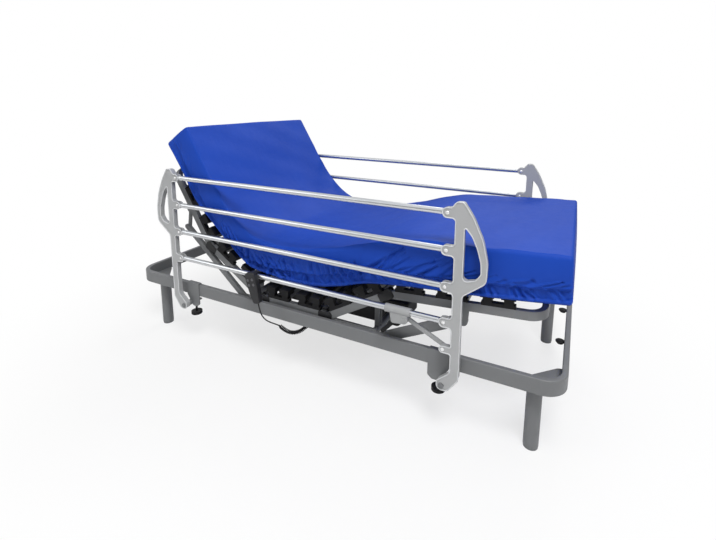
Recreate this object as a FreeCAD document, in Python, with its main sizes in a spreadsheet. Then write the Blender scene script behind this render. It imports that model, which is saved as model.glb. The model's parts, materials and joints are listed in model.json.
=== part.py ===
import FreeCAD, Part
import math
import os

from FreeCAD import Placement, Rotation, Vector

# Electric hospital bed with folding side rails. Millimetres. +X runs to the foot end, +Z up.
# The near side is -Y. The origin is on the floor under the middle of the bed's outline.

doc = FreeCAD.newDocument("hospital_bed")
sheet = doc.addObject("Spreadsheet::Sheet", "Dimensions")

dimensions = {
    # Base loop, legs and welded members
    "frame_length": 2000.0,
    "frame_width": 868.0,
    "loop_height": 56.0,
    "loop_wall": 20.0,
    "loop_top": 304.0,
    "bend_lead": 4.0,
    "loop_radius": 80.0,
    "loop_edge": 4.0,
    "leg_diameter": 51.0,
    "leg_inset_x": 97.0,
    "leg_inset_y": 76.0,
    "leg_foot_height": 8.0,
    "gusset_thickness": 5.0,
    "gusset_reach": 150.0,
    "cross_tube": 30.0,
    "cross_drop": 22.0,
    "carrier_half_span": 320.0,
    "carrier_thickness": 8.0,
    "carrier_height": 54.0,
    # Lying surface
    "deck_height": 308.0,
    "deck_half_width": 410.0,
    "side_tube_width": 20.0,
    "side_tube_height": 30.0,
    "rung_size": 20.0,
    "rung_from_eye": 32.0,
    "rung_from_cheek": 56.0,
    "bow_radius": 60.0,
    "hip_x": -217.0,
    "seat_length": 340.0,
    "back_length": 353.0,
    "head_length": 400.0,
    "thigh_length": 305.0,
    "calf_length": 540.0,
    "back_angle": 33.0,
    "head_angle": 26.0,
    "thigh_angle": 30.0,
    "calf_angle": 26.0,
    "back_limit": 38.0,
    "thigh_limit": 38.0,
    "tube_end_gap": 14.0,
    "eye_radius": 12.5,
    "hinge_pin_radius": 5.0,
    "cheek_thickness": 3.0,
    "cheek_height": 42.0,
    "cheek_length": 62.0,
    "inner_rail_half_span": 250.0,
    # Slats and their holders
    "holder_length": 110.0,
    "holder_pitch": 155.0,
    "slat_pitch": 68.0,
    "slat_width": 38.0,
    "slat_thickness": 8.0,
    "slat_crown": 8.0,
    "slat_end_height": 51.0,
    "cap_depth": 44.0,
    # Mattress
    "mattress_width": 888.0,
    "mattress_thickness": 150.0,
    "mattress_height": 68.0,
    "mattress_head_length": 502.0,
    "mattress_calf_length": 592.0,
    "seat_rise": 45.0,
    # Lift shafts and their arms
    "shaft_reach": 150.0,
    "shaft_drop": 92.0,
    "shaft_radius": 15.0,
    "journal_radius": 10.0,
    "arm_length": 151.0,
    "arm_radius": 11.0,
    "arm_plate": 4.0,
    "roller_radius": 14.0,
    "roller_width": 19.0,
    "paddle_length": 60.0,
    "paddle_thickness": 16.0,
    # Head guide and calf strut linkages
    "guide_pivot_x": -290.0,
    "guide_pivot_z": 262.0,
    "guide_height": 24.0,
    "guide_width": 16.0,
    "guide_half_span": 400.0,
    "guide_lug_reach": 200.0,
    "guide_lug_drop": 30.0,
    "guide_link_length": 86.4,
    "guide_link_lean": 9.0,
    "guide_pin_radius": 8.0,
    "link_plate": 5.0,
    "strut_pivot_x": 330.0,
    "strut_height": 40.0,
    "strut_width": 8.0,
    "strut_half_span": 396.0,
    "calf_lug_reach": 269.0,
    "calf_lug_drop": 55.0,
    "link_pin_radius": 6.0,
    # Twin drive
    "drive_half_width": 60.0,
    "drive_bottom": 128.0,
    "drive_top": 246.0,
    "drive_end": 62.0,
    "drive_slot": 28.0,
    "carriage_length": 40.0,
    # Side rails
    "rail_plane": 464.0,
    "rail_head_pin": -630.0,
    "rail_foot_pin": 614.0,
    "far_rail_shift": 110.0,
    "rail_pivot_height": 209.0,
    "rail_tube_radius": 10.5,
    "lowest_tube_rise": 231.0,
    "rail_tube_pitch": 125.7,
    "upright_thickness": 22.0,
    "bar_inner": 28.0,
    "bar_outer": 57.0,
    "lug_radius": 16.0,
    "lug_slot": 10.4,
    "tongue_thickness": 10.0,
    "tongue_height": 18.0,
    "rail_pin_radius": 4.0,
    "brace_lug_rise": 134.0,
    "brace_lug_radius": 11.0,
    "eye_bore": 7.05,
    # Rail lock
    "sleeve_near": 118.0,
    "sleeve_far": 214.0,
    "sleeve_radius": 15.0,
    "lock_pin_back": 142.0,
    "lock_pin_drop": 28.0,
    "lever_length": 76.0,
    "lever_thickness": 9.0,
    # Rail clamps
    "clamp_width": 76.0,
    "clamp_offset": 23.0,
    "clamp_plate": 5.0,
    "knob_radius": 25.0,
    "knob_height": 13.0,
    "knob_bottom": 152.0,
    "knob_stem_radius": 5.0,
    # Handset and its cord
    "handset_top_x": -205.0,
    "handset_length": 134.0,
    "handset_top_width": 54.0,
    "handset_low_width": 34.0,
    "handset_thickness": 22.0,
    "handset_lean": 16.0,
    "button_radius": 5.5,
    "button_travel": 1.2,
    "lead_diameter": 5.0,
    "curl_diameter": 12.0,
    "handset_edge": 4.0,
}

for row, (alias, value) in enumerate(dimensions.items(), start=1):
    sheet.set("A%d" % row, alias)
    sheet.set("B%d" % row, str(value))
    sheet.setAlias("B%d" % row, alias)
doc.recompute()

size = {alias: float(getattr(sheet, alias)) for alias in dimensions}

# Running clearances
shaft_play = 0.05
side_play = 0.3
seat_gap = 0.3

# Values that several pieces share
paddle_radius = 12.0
carriage_top = 164.0

nodes = {}


def keep(label, feature):
    feature.Label = label
    nodes[label] = feature
    return feature


def bind(feature, **expressions):
    for prop, text in expressions.items():
        feature.setExpression(prop, text)


def sketch_on(body, role, name):
    sketch = body.newObject("Sketcher::SketchObject", name)
    plane = next(item for item in body.Origin.OriginFeatures if item.Role == role)
    sketch.AttachmentSupport = [(plane, "")]
    sketch.MapMode = "FlatFace"
    return sketch


def rounded_outline(corners):
    """Closed outline through (x, y, radius) corners, as lines and tangent arcs."""
    entries = []
    count = len(corners)
    for index, (x, y, radius) in enumerate(corners):
        corner = Vector(x, y, 0)
        before = Vector(*corners[index - 1][:2], 0) - corner
        after = Vector(*corners[(index + 1) % count][:2], 0) - corner
        if radius <= 0:
            entries.append((corner, None, corner))
            continue
        half = before.getAngle(after) / 2
        setback = radius / math.tan(half)
        start = corner + before.normalize() * setback
        end = corner + after.normalize() * setback
        bisector = (before + after).normalize()
        middle = corner + bisector * (radius / math.sin(half) - radius)
        entries.append((start, middle, end))
    edges = []
    for index, (start, middle, end) in enumerate(entries):
        if middle is not None:
            edges.append(Part.Arc(start, middle, end))
        following = entries[(index + 1) % count][0]
        run = following - end
        if run.Length > 0.001:
            side = Vector(*corners[(index + 1) % count][:2], 0) - Vector(*corners[index][:2], 0)
            if run.dot(side) < 0:
                raise ValueError("radii meet on the side after corner %d" % index)
            edges.append(Part.LineSegment(end, following))
    return edges


def circle(x, y, radius):
    return [Part.Circle(Vector(x, y, 0), Vector(0, 0, 1), radius)]


def capsule(length, radius):
    """Outline of a bar with round ends, its two centres at 0 and length."""
    round_end = radius * 0.999
    return [(-radius, -radius, round_end), (length + radius, -radius, round_end),
            (length + radius, radius, round_end), (-radius, radius, round_end)]


def padded_body(name, wires, role, thickness, at=None, turn=0.0):
    """Body with one sketch, padded to both sides of its plane by a sheet value."""
    body = doc.addObject("PartDesign::Body", name)
    sketch = sketch_on(body, role, name + "_outline")
    for wire in wires:
        for edge in wire:
            sketch.addGeometry(edge, False)
    pad = body.newObject("PartDesign::Pad", name + "_pad")
    pad.Profile = sketch
    pad.SideType = "Symmetric"
    pad.setExpression("Length", thickness)
    sketch.Visibility = False
    body.Placement = Placement(at or Vector(), Rotation(Vector(0, 1, 0), turn))
    return body


def slab(name, low, high):
    """Box between two corners."""
    block = doc.addObject("Part::Box", name)
    block.Length = high[0] - low[0]
    block.Width = high[1] - low[1]
    block.Height = high[2] - low[2]
    block.Placement = Placement(Vector(*low), Rotation())
    return block


def rod(name, start, end, radius):
    """Cylinder between two points, its radius a sheet expression or a number."""
    bar = doc.addObject("Part::Cylinder", name)
    first = Vector(*start)
    axis = Vector(*end) - first
    if isinstance(radius, str):
        bar.setExpression("Radius", radius)
    else:
        bar.Radius = radius
    bar.Height = axis.Length
    bar.Placement = Placement(first, Rotation(Vector(0, 0, 1), axis))
    return bar


def fused(name, *shapes):
    union = doc.addObject("Part::MultiFuse", name)
    union.Shapes = list(shapes)
    union.Refine = True
    return union


def cut(name, base, tool):
    difference = doc.addObject("Part::Cut", name)
    difference.Base = base
    difference.Tool = tool
    difference.Refine = True
    return difference


def group(name, members):
    compound = doc.addObject("Part::Compound", name)
    compound.Links = list(members)
    return compound


def feature(name, shape, placement=None):
    item = doc.addObject("Part::Feature", name)
    item.Shape = shape
    item.Placement = placement or Placement()
    return item


def across(y_low, y_high, x, z):
    """Both ends of a bar that runs across the bed at (x, z)."""
    return (x, y_low, z), (x, y_high, z)


# Places of the deck's hinges at rest
deck_z = size["deck_height"]
hip = Vector(size["hip_x"], 0, deck_z)
thigh_hinge = hip + Vector(size["seat_length"], 0, 0)
turn_y = Vector(0, 1, 0)
back_place = Placement(hip, Rotation(turn_y, size["back_angle"]))
head_place = back_place.multiply(Placement(Vector(-size["back_length"], 0, 0),
                                           Rotation(turn_y, size["head_angle"])))
thigh_place = Placement(thigh_hinge, Rotation(turn_y, -size["thigh_angle"]))
calf_place = thigh_place.multiply(Placement(Vector(size["thigh_length"], 0, 0),
                                            Rotation(turn_y, size["calf_angle"])))
flat_knee = thigh_hinge + Vector(size["thigh_length"], 0, 0)

half_length = size["frame_length"] / 2
half_width = size["frame_width"] / 2
loop_bottom = size["loop_top"] - size["loop_height"]
loop_inner = half_width - size["loop_wall"]
tube_outer = size["deck_half_width"]
tube_inner = tube_outer - size["side_tube_width"]
tube_middle = tube_outer - size["side_tube_width"] / 2
tube_half = size["side_tube_height"] / 2
cross_top = size["loop_top"] - size["cross_drop"]
cross_bottom = cross_top - size["cross_tube"]


# Base loop: a bent rectangular tube, in lengths that butt where the bends start

def rectangle(half_x, half_y, radius):
    return rounded_outline([(-half_x, -half_y, radius), (half_x, -half_y, radius),
                            (half_x, half_y, radius), (-half_x, half_y, radius)])


def make_base_loop():
    wall = size["loop_wall"]
    radius = size["loop_radius"]
    outer = rectangle(half_length, half_width, radius)
    inner = rectangle(half_length - wall, half_width - wall, radius - wall)
    body = padded_body("loop_tube", [outer, inner], "XY_Plane", "Dimensions.loop_height",
                       Vector(0, 0, loop_bottom + size["loop_height"] / 2))
    doc.recompute()
    pad = body.Tip
    level = size["loop_height"] / 2
    rims = [("Edge%d" % (number + 1)) for number, edge in enumerate(pad.Shape.Edges)
            if abs(abs(edge.BoundBox.ZMin) - level) < 0.01 and edge.BoundBox.ZLength < 0.01]
    fillet = body.newObject("PartDesign::Fillet", "loop_edges")
    fillet.Base = (pad, rims)
    bind(fillet, Radius="Dimensions.loop_edge")
    body.Tip = fillet
    keep("base_loop", group("base_loop", loop_lengths(body)))


def loop_lengths(body):
    """The four straight lengths and the four bends of the loop, each as its own solid."""
    seam_x = half_length - size["loop_radius"] - size["bend_lead"]
    seam_y = half_width - size["loop_radius"] - size["bend_lead"]
    reach_x = half_length + 1
    reach_y = half_width + 1
    low = loop_bottom - 1
    high = size["loop_top"] + 1
    boxes = []
    for side in (-1, 1):
        ends = sorted((side * seam_y, side * reach_y))
        boxes.append(((-seam_x, ends[0], low), (seam_x, ends[1], high)))
        ends = sorted((side * seam_x, side * reach_x))
        boxes.append(((ends[0], -seam_y, low), (ends[1], seam_y, high)))
    for sign_x, sign_y in corner_signs():
        xs = sorted((sign_x * seam_x, sign_x * reach_x))
        ys = sorted((sign_y * seam_y, sign_y * reach_y))
        boxes.append(((xs[0], ys[0], low), (xs[1], ys[1], high)))
    lengths = []
    for number, (near, far) in enumerate(boxes):
        length = doc.addObject("Part::Common", "loop_length_%d" % number)
        length.Base = body
        length.Tool = slab("loop_cutter_%d" % number, near, far)
        lengths.append(length)
    return lengths


def corner_signs():
    return [(-1, -1), (-1, 1), (1, -1), (1, 1)]


def make_cross_members():
    ends = (-loop_inner, loop_inner)
    half = size["cross_tube"] / 2
    hanger = size["carrier_half_span"]
    plate = size["carrier_thickness"] / 2
    head_x = hip.x + half * 2
    foot_x = thigh_hinge.x - half * 2
    members = []
    for name, x in (("cross_head", head_x), ("cross_foot", foot_x)):
        members.append(slab(name, (x - half, ends[0], cross_bottom), (x + half, ends[1], cross_top)))
    back_x = hip.x - size["shaft_reach"]
    leg_x = thigh_hinge.x + size["shaft_reach"]
    shaft_z = deck_z - size["shaft_drop"]
    margin = size["shaft_radius"] + 8
    low = shaft_z - size["shaft_radius"] - 3
    for name, side in (("carrier_near", -1), ("carrier_far", 1)):
        middle = side * hanger
        bar = slab(name, (back_x - margin, middle - plate, low), (leg_x + margin, middle + plate, cross_bottom))
        holes = [rod(name + "_hole_" + tag, *across(middle - 2 * plate, middle + 2 * plate, x, shaft_z),
                     size["journal_radius"] + shaft_play) for tag, x in (("back", back_x), ("leg", leg_x))]
        members.append(cut(name + "_bored", bar, group(name + "_holes", holes)))
    return members


def make_frame_members():
    pieces = make_cross_members()
    wall = size["loop_wall"]
    corner = loop_inner_corner()
    reach = size["gusset_reach"]
    for number, (sx, sy) in enumerate(corner_signs()):
        x0, y0 = corner
        radius = size["loop_radius"] - wall
        outline = [(sx * x0, sy * y0, radius), (sx * (x0 - reach), sy * y0, 0),
                   (sx * (x0 - reach), sy * (y0 - 12), 24), (sx * (x0 - 12), sy * (y0 - reach), 24),
                   (sx * x0, sy * (y0 - reach), 0)]
        plate = padded_body("gusset_%d" % number, [rounded_outline(outline)], "XY_Plane",
                            "Dimensions.gusset_thickness",
                            Vector(0, 0, gusset_low() + size["gusset_thickness"] / 2))
        pieces.append(plate)
    half = size["cross_tube"] / 2
    for tag, x in (("head", hip.x + half * 2), ("foot", thigh_hinge.x - half * 2)):
        for side, low, high in (("near", -tube_outer, -tube_inner), ("far", tube_inner, tube_outer)):
            pieces.append(slab("riser_%s_%s" % (tag, side), (x - half, low, cross_top),
                               (x + half, high, deck_z - tube_half)))
    guide = Vector(size["guide_pivot_x"], 0, size["guide_pivot_z"])
    strut = strut_pivot()
    for tag, point, inner, pin in (
            ("guide", guide, size["guide_half_span"] - size["guide_width"] / 2, "Dimensions.guide_pin_radius"),
            ("strut", strut, size["strut_half_span"] - size["strut_width"] / 2, "Dimensions.link_pin_radius")):
        for side, sign in (("near", -1), ("far", 1)):
            pieces.append(rod("%s_pivot_%s" % (tag, side), (point.x, sign * loop_inner, point.z),
                              (point.x, sign * (inner - 1), point.z), pin))
    keep("frame_members", group("frame_members", pieces))


def loop_inner_corner():
    return half_length - size["loop_wall"], half_width - size["loop_wall"]


def gusset_low():
    return loop_bottom + 2


def strut_pivot():
    """Point that is as far from the calf lug when the deck is flat as it is at rest."""
    lug = Vector(size["calf_lug_reach"], 0, -size["calf_lug_drop"])
    flat = flat_knee + lug
    rest = calf_place.multVec(lug)
    middle = (flat + rest) * 0.5
    move = (rest - flat).normalize()
    along = Vector(move.z, 0, -move.x)
    step = (size["strut_pivot_x"] - middle.x) / along.x
    return middle + along * step


def make_legs():
    x = half_length - size["leg_inset_x"]
    y = half_width - size["leg_inset_y"]
    foot = size["leg_foot_height"]
    legs = []
    for number, (sx, sy) in enumerate(corner_signs()):
        legs.append(rod("leg_%d" % number, (sx * x, sy * y, foot), (sx * x, sy * y, gusset_low()),
                        "Dimensions.leg_diameter / 2"))
        legs.append(rod("leg_pad_%d" % number, (sx * x, sy * y, 0), (sx * x, sy * y, foot),
                        "Dimensions.leg_diameter / 2 - 1"))
    keep("legs", group("legs", legs))


# Lying surface: sections are drawn flat with their hinge at the origin, then turned to rest

def side_pair(name, x_low, x_high):
    half = tube_half
    near = slab(name + "_near", (x_low, -tube_outer, -half), (x_high, -tube_inner, half))
    far = slab(name + "_far", (x_low, tube_inner, -half), (x_high, tube_outer, half))
    return [near, far]


def rungs(name, places):
    half = size["rung_size"] / 2
    return [slab("%s_rung_%d" % (name, number), (x - half, -tube_inner, -half), (x + half, tube_inner, half))
            for number, x in enumerate(places)]


def inner_rails(name, x_low, x_high):
    half = size["rung_size"] / 2
    span = size["inner_rail_half_span"]
    return [slab("%s_rail_%s" % (name, tag), (x_low, middle - half, -half), (x_high, middle + half, half))
            for tag, middle in (("near", -span), ("far", span))]


def eyes(name, direction):
    """Bored eyes that carry a section's side tubes on the hinge pins."""
    parts = []
    width = size["side_tube_width"] - 2
    for tag, sign in (("near", -1), ("far", 1)):
        low = sign * tube_middle - width / 2
        high = sign * tube_middle + width / 2
        barrel = rod("%s_eye_%s" % (name, tag), (0, low, 0), (0, high, 0), "Dimensions.eye_radius")
        reach = sorted((0, direction * (size["tube_end_gap"] + 4)))
        neck = slab("%s_neck_%s" % (name, tag), (reach[0], low, -8), (reach[1], high, 8))
        parts.append((barrel, neck))
    return [piece for pair in parts for piece in pair]


def eye_bores(name):
    reach = tube_outer + 2
    return rod(name + "_eye_bore", (0, -reach, 0), (0, reach, 0), size["hinge_pin_radius"] + shaft_play)


def bow(name, direction, start, end):
    """U-shaped end of a section, bent from the side tube."""
    wall = size["side_tube_width"]
    radius = size["bow_radius"]
    corners = [(start, -tube_outer, 0), (end, -tube_outer, radius), (end, tube_outer, radius),
               (start, tube_outer, 0), (start, tube_inner, 0), (end - wall, tube_inner, radius - wall),
               (end - wall, -tube_inner, radius - wall), (start, -tube_inner, 0)]
    outline = rounded_outline([(direction * x, y, r) for x, y, r in corners])
    return padded_body(name + "_bow", [outline], "XY_Plane", "Dimensions.side_tube_height")


def section_frame(name, direction, length, place, has_bow, extra=(), lift=True):
    gap = size["tube_end_gap"]
    first = size["rung_from_eye"]
    if has_bow:
        members = [bow(name, direction, gap, length)]
        places = [direction * first, direction * (length / 2)]
    else:
        ends = sorted((direction * gap, direction * (length - gap)))
        members = side_pair(name, *ends)
        places = [direction * first, direction * (length - size["rung_from_cheek"])]
    members += rungs(name, places)
    if lift:
        members += inner_rails(name, *sorted((direction * gap, direction * (length - gap))))
    members += eyes(name, direction)
    members += list(extra)
    frame = cut(name + "_frame", fused(name + "_welded", *members), eye_bores(name))
    frame.Placement = place
    keep(name + "_frame", frame)


def calf_lugs():
    reach = size["calf_lug_reach"]
    drop = size["calf_lug_drop"]
    outline = [(reach - 26, -tube_half + 1, 0), (reach - 18, -drop - 18, 16), (reach + 18, -drop - 18, 16),
               (reach + 26, -tube_half + 1, 0)]
    plates = []
    beside_strut = size["strut_half_span"] + size["strut_width"] + side_play
    for tag, sign in (("near", -1), ("far", 1)):
        plates.append(padded_body("calf_lug_" + tag, [rounded_outline(outline)], "XZ_Plane",
                                  "Dimensions.strut_width", Vector(0, sign * beside_strut, 0)))
    return plates


def head_lugs():
    reach = -size["guide_lug_reach"]
    drop = size["guide_lug_drop"]
    outline = [(reach - 16, -tube_half + 1, 0), (reach - 12, -drop - 12, 11), (reach + 12, -drop - 12, 11),
               (reach + 16, -tube_half + 1, 0)]
    plates = []
    lug_middle = size["guide_half_span"] - size["guide_width"] / 2 + size["strut_width"] / 2
    for tag, sign in (("near", -1), ("far", 1)):
        plates.append(padded_body("head_lug_" + tag, [rounded_outline(outline)], "XZ_Plane",
                                  "Dimensions.strut_width", Vector(0, sign * lug_middle, 0)))
    return plates


def make_seat_frame():
    gap = size["tube_end_gap"]
    inset = size["rung_from_cheek"]
    length = size["seat_length"]
    members = side_pair("seat", gap, length - gap)
    members += rungs("seat", [inset, length - inset])
    frame = fused("seat_frame", *members)
    frame.Placement = Placement(hip, Rotation())
    keep("seat_frame", frame)


def make_deck_frames():
    make_seat_frame()
    section_frame("back", -1, size["back_length"], back_place, False)
    section_frame("head", -1, size["head_length"], head_place, True, head_lugs(), lift=False)
    section_frame("thigh", 1, size["thigh_length"], thigh_place, False)
    section_frame("calf", 1, size["calf_length"], calf_place, True, calf_lugs(), lift=False)


def hinge_cheeks(name, x, toward, place):
    """Cheek plates with their pins, one hinge on each side of the bed."""
    length = size["cheek_length"]
    height = size["cheek_height"]
    plate = size["cheek_thickness"]
    low = -tube_half - 4
    tail = toward * (length - 18)
    nose = -toward * 18
    outline = [(x + nose, low, 12), (x + tail, low + 4, 4), (x + tail, tube_half, 6),
               (x + nose, low + height, 14)]
    if toward < 0:
        outline.reverse()
    pieces = []
    for tag, sign in (("near", -1), ("far", 1)):
        outer = sign * (tube_outer + side_play + plate / 2)
        inner = sign * (tube_inner - side_play - plate / 2)
        parts = []
        for side, y in (("outer", outer), ("inner", inner)):
            parts.append(padded_body("%s_%s_%s" % (name, tag, side), [rounded_outline(outline)], "XZ_Plane",
                                     "Dimensions.cheek_thickness", Vector(0, y, 0)))
        parts.append(rod("%s_%s_pin" % (name, tag), (x, inner, 0), (x, outer, 0),
                         "Dimensions.hinge_pin_radius"))
        solid = fused("%s_%s" % (name, tag), *parts)
        solid.Placement = place
        pieces.append(solid)
    return pieces


def make_hinges():
    seat_place = Placement(hip, Rotation())
    seat = hinge_cheeks("hip_hinge", 0, 1, seat_place)
    seat += hinge_cheeks("thigh_hinge", size["seat_length"], -1, seat_place)
    keep("seat_hinges", group("seat_hinges", seat))
    back = hinge_cheeks("neck_hinge", -size["back_length"], 1, back_place)
    keep("back_hinges", group("back_hinges", back))
    knee = hinge_cheeks("knee_hinge", size["thigh_length"], -1, thigh_place)
    keep("knee_hinges", group("knee_hinges", knee))


def slat_shape(x):
    """Bowed slat: a band between two arcs, its ends in the holders."""
    reach = tube_outer - 2
    low = size["slat_end_height"]
    thick = size["slat_thickness"]
    crown = size["slat_crown"]
    lower = Part.Arc(Vector(0, -reach, low), Vector(0, 0, low + crown), Vector(0, reach, low)).toShape()
    upper = Part.Arc(Vector(0, reach, low + thick), Vector(0, 0, low + thick + crown),
                     Vector(0, -reach, low + thick)).toShape()
    ends = [Part.makeLine(Vector(0, reach, low), Vector(0, reach, low + thick)),
            Part.makeLine(Vector(0, -reach, low + thick), Vector(0, -reach, low))]
    face = Part.Face(Part.Wire([lower, ends[0], upper, ends[1]]))
    band = face.extrude(Vector(size["slat_width"], 0, 0))
    band.translate(Vector(x - size["slat_width"] / 2, 0, 0))
    return band


def holder_shape(x, sign):
    """Double slat holder: a base on the side tube, two posts and a cap over each slat end."""
    half = size["holder_length"] / 2
    base_low = tube_half
    cap_low = size["slat_end_height"] - 6
    cap_high = size["mattress_height"] - seat_gap
    outer = tube_outer + 6
    span = [outer - size["cap_depth"], outer]
    base_span = [tube_inner, tube_outer]
    foot_high = base_low + 12

    def block(x_low, x_high, y_span, z_low, z_high):
        low = sorted((sign * y_span[0], sign * y_span[1]))
        return Part.makeBox(x_high - x_low, low[1] - low[0], z_high - z_low, Vector(x_low, low[0], z_low))

    shape = block(x - half, x + half, base_span, base_low, foot_high)
    for offset in (-size["slat_pitch"] / 2, size["slat_pitch"] / 2):
        middle = x + offset
        cap = size["slat_width"] / 2 + 4
        shape = shape.fuse(block(middle - 15, middle + 15, [tube_inner, tube_outer], foot_high, cap_low))
        shape = shape.fuse(block(middle - cap, middle + cap, span, cap_low, cap_high))
    for offset in (-size["slat_pitch"] / 2, size["slat_pitch"] / 2):
        middle = x + offset
        room = size["slat_width"] / 2 + side_play
        pocket_low = size["slat_end_height"] - side_play
        pocket_high = pocket_low + size["slat_thickness"] + 2.4
        shape = shape.cut(block(middle - room, middle + room, [span[0] - 1, tube_outer], pocket_low, pocket_high))
    return shape.removeSplitter()


def make_slats(name, direction, first, count, place):
    solids = []
    for number in range(count):
        x = direction * (first + number * size["holder_pitch"])
        for offset in (-size["slat_pitch"] / 2, size["slat_pitch"] / 2):
            solids.append(slat_shape(x + offset))
        for sign in (-1, 1):
            solids.append(holder_shape(x, sign))
    keep(name + "_slats", feature(name + "_slats", Part.makeCompound(solids), place))


def make_slat_sets():
    edge = size["holder_length"] / 2 + 26
    make_slats("seat", 1, (size["seat_length"] - size["holder_pitch"]) / 2, 2, Placement(hip, Rotation()))
    make_slats("back", -1, (size["back_length"] - size["holder_pitch"]) / 2, 2, back_place)
    make_slats("head", -1, edge, 2, head_place)
    make_slats("thigh", 1, (size["thigh_length"] - size["holder_pitch"]) / 2, 2, thigh_place)
    make_slats("calf", 1, edge, 3, calf_place)


def mattress_block(label, corners, place):
    middle = "Dimensions.mattress_width"
    block = padded_body(label, [rounded_outline(corners)], "XZ_Plane", middle)
    block.Placement = place
    keep(label, block)


def make_mattress():
    low = size["mattress_height"]
    high = low + size["mattress_thickness"]
    raised = high + size["seat_rise"]
    slack = 0.3
    neck_limit = size["back_limit"] * size["head_angle"] / size["back_angle"]
    lean_hip = math.tan(math.radians(size["back_limit"] / 2 + slack))
    lean_neck = math.tan(math.radians(neck_limit / 2 + slack))
    lean_thigh = math.tan(math.radians(size["thigh_limit"] / 2 + slack))
    gap = 1.5
    soft = 20
    back = -size["back_length"]
    mattress_block("mattress_back", [(-low * lean_hip - gap, low, 0), (-high * lean_hip - gap, high, 0),
                                     (back + high * lean_neck + gap, high, 0),
                                     (back + low * lean_neck + gap, low, 0)], back_place)
    end = -size["mattress_head_length"]
    mattress_block("mattress_head", [(-low * lean_neck - gap, low, 0), (-high * lean_neck - gap, high, 0),
                                     (end, high, soft), (end, low, soft)], head_place)
    seat = size["seat_length"]
    mattress_block("mattress_seat", [(low * lean_hip + gap, low, 0), (seat - low * lean_thigh - gap, low, 0),
                                     (seat - raised * lean_thigh - gap, raised, 0),
                                     (raised * lean_hip + gap, raised, 0)], Placement(hip, Rotation()))
    knee = size["thigh_length"]
    mattress_block("mattress_thigh", [(low * lean_thigh + gap, low, 0), (knee - gap, low, 0),
                                      (knee - gap, high, 0), (high * lean_thigh + gap, high, 0)], thigh_place)
    foot = size["mattress_calf_length"]
    mattress_block("mattress_calf", [(gap, low, 0), (foot, low, soft), (foot, high, soft), (gap, high, 0)],
                   calf_place)


# Lift shafts: the arms' rollers push the back and the thigh sections up

def roller_angle(hinge_turn):
    """Arm angle above the horizontal at which the roller meets the section's rail."""
    turn = math.radians(hinge_turn)
    rail = size["rung_size"] / 2 + size["roller_radius"] + seat_gap
    reach = size["shaft_reach"] * math.sin(turn) + size["shaft_drop"] * math.cos(turn) - rail
    return hinge_turn + math.degrees(math.asin(reach / size["arm_length"]))


def make_lift(name, hinge, direction, hinge_turn):
    shaft = Vector(hinge.x + direction * size["shaft_reach"], 0, deck_z - size["shaft_drop"])
    angle = roller_angle(hinge_turn)
    inner = size["carrier_half_span"] - size["carrier_thickness"] / 2 - side_play
    outer = size["carrier_half_span"] + size["carrier_thickness"] / 2 + 2
    span = size["inner_rail_half_span"]
    parts = [rod(name + "_shaft", (0, -inner, 0), (0, inner, 0), "Dimensions.shaft_radius"),
             rod(name + "_journals", (0, -outer, 0), (0, outer, 0), "Dimensions.journal_radius")]
    bars = [rounded_outline(capsule(size["arm_length"], size["arm_radius"]))]
    half = size["roller_width"] / 2 + 0.5
    for tag, middle in (("near", -span), ("far", span)):
        for side, offset in (("in", -half - size["arm_plate"] / 2), ("out", half + size["arm_plate"] / 2)):
            parts.append(padded_body("%s_arm_%s_%s" % (name, tag, side), bars, "XZ_Plane",
                                     "Dimensions.arm_plate", Vector(0, middle + offset, 0)))
        reach = half + size["arm_plate"]
        parts.append(rod("%s_roller_pin_%s" % (name, tag), (size["arm_length"], middle - reach, 0),
                         (size["arm_length"], middle + reach, 0), "Dimensions.hinge_pin_radius"))
    blade = padded_body(name + "_paddle", [rounded_outline(capsule(size["paddle_length"], paddle_radius))], "XZ_Plane",
                        "Dimensions.paddle_thickness")
    blade.Placement = Placement(Vector(), Rotation(turn_y, paddle_offset()))
    arms = fused(name + "_arms_fused", *(parts + [blade]))
    facing = Rotation(Vector(0, 0, 1), 180) if direction < 0 else Rotation()
    place = Placement(shaft, facing.multiply(Rotation(turn_y, -angle)))
    arms.Placement = place
    keep(name + "_arms", arms)
    rollers = []
    for tag, middle in (("near", -span), ("far", span)):
        ends = ((size["arm_length"], middle - size["roller_width"] / 2, 0),
                (size["arm_length"], middle + size["roller_width"] / 2, 0))
        wheel = rod("%s_wheel_%s" % (name, tag), *ends, "Dimensions.roller_radius")
        bore = rod("%s_wheel_bore_%s" % (name, tag), *ends, size["hinge_pin_radius"] + shaft_play)
        rollers.append(cut("%s_roller_%s" % (name, tag), wheel, bore))
    pair = group(name + "_rollers", rollers)
    pair.Placement = place
    keep(name + "_rollers", pair)
    return shaft


def paddle_offset():
    """Angle from arm to paddle that centres the paddle's swing about straight down."""
    return 90 + (roller_angle(0) + roller_angle(size["back_limit"])) / 2


def paddle_reach():
    """Half of the paddle tip's travel to each side of straight down, and its angle."""
    swing = (roller_angle(size["back_limit"]) - roller_angle(0)) / 2
    return size["paddle_length"] * math.sin(math.radians(swing)), swing


# Head guide: a bar from the frame tilts the head section as the back rises

def guide_points():
    lug = head_place.multVec(Vector(-size["guide_lug_reach"], 0, -size["guide_lug_drop"]))
    pivot = Vector(size["guide_pivot_x"], 0, size["guide_pivot_z"])
    lean = math.radians(size["guide_link_lean"])
    elbow = lug - Vector(math.sin(lean), 0, math.cos(lean)) * size["guide_link_length"]
    return pivot, elbow, lug


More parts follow.
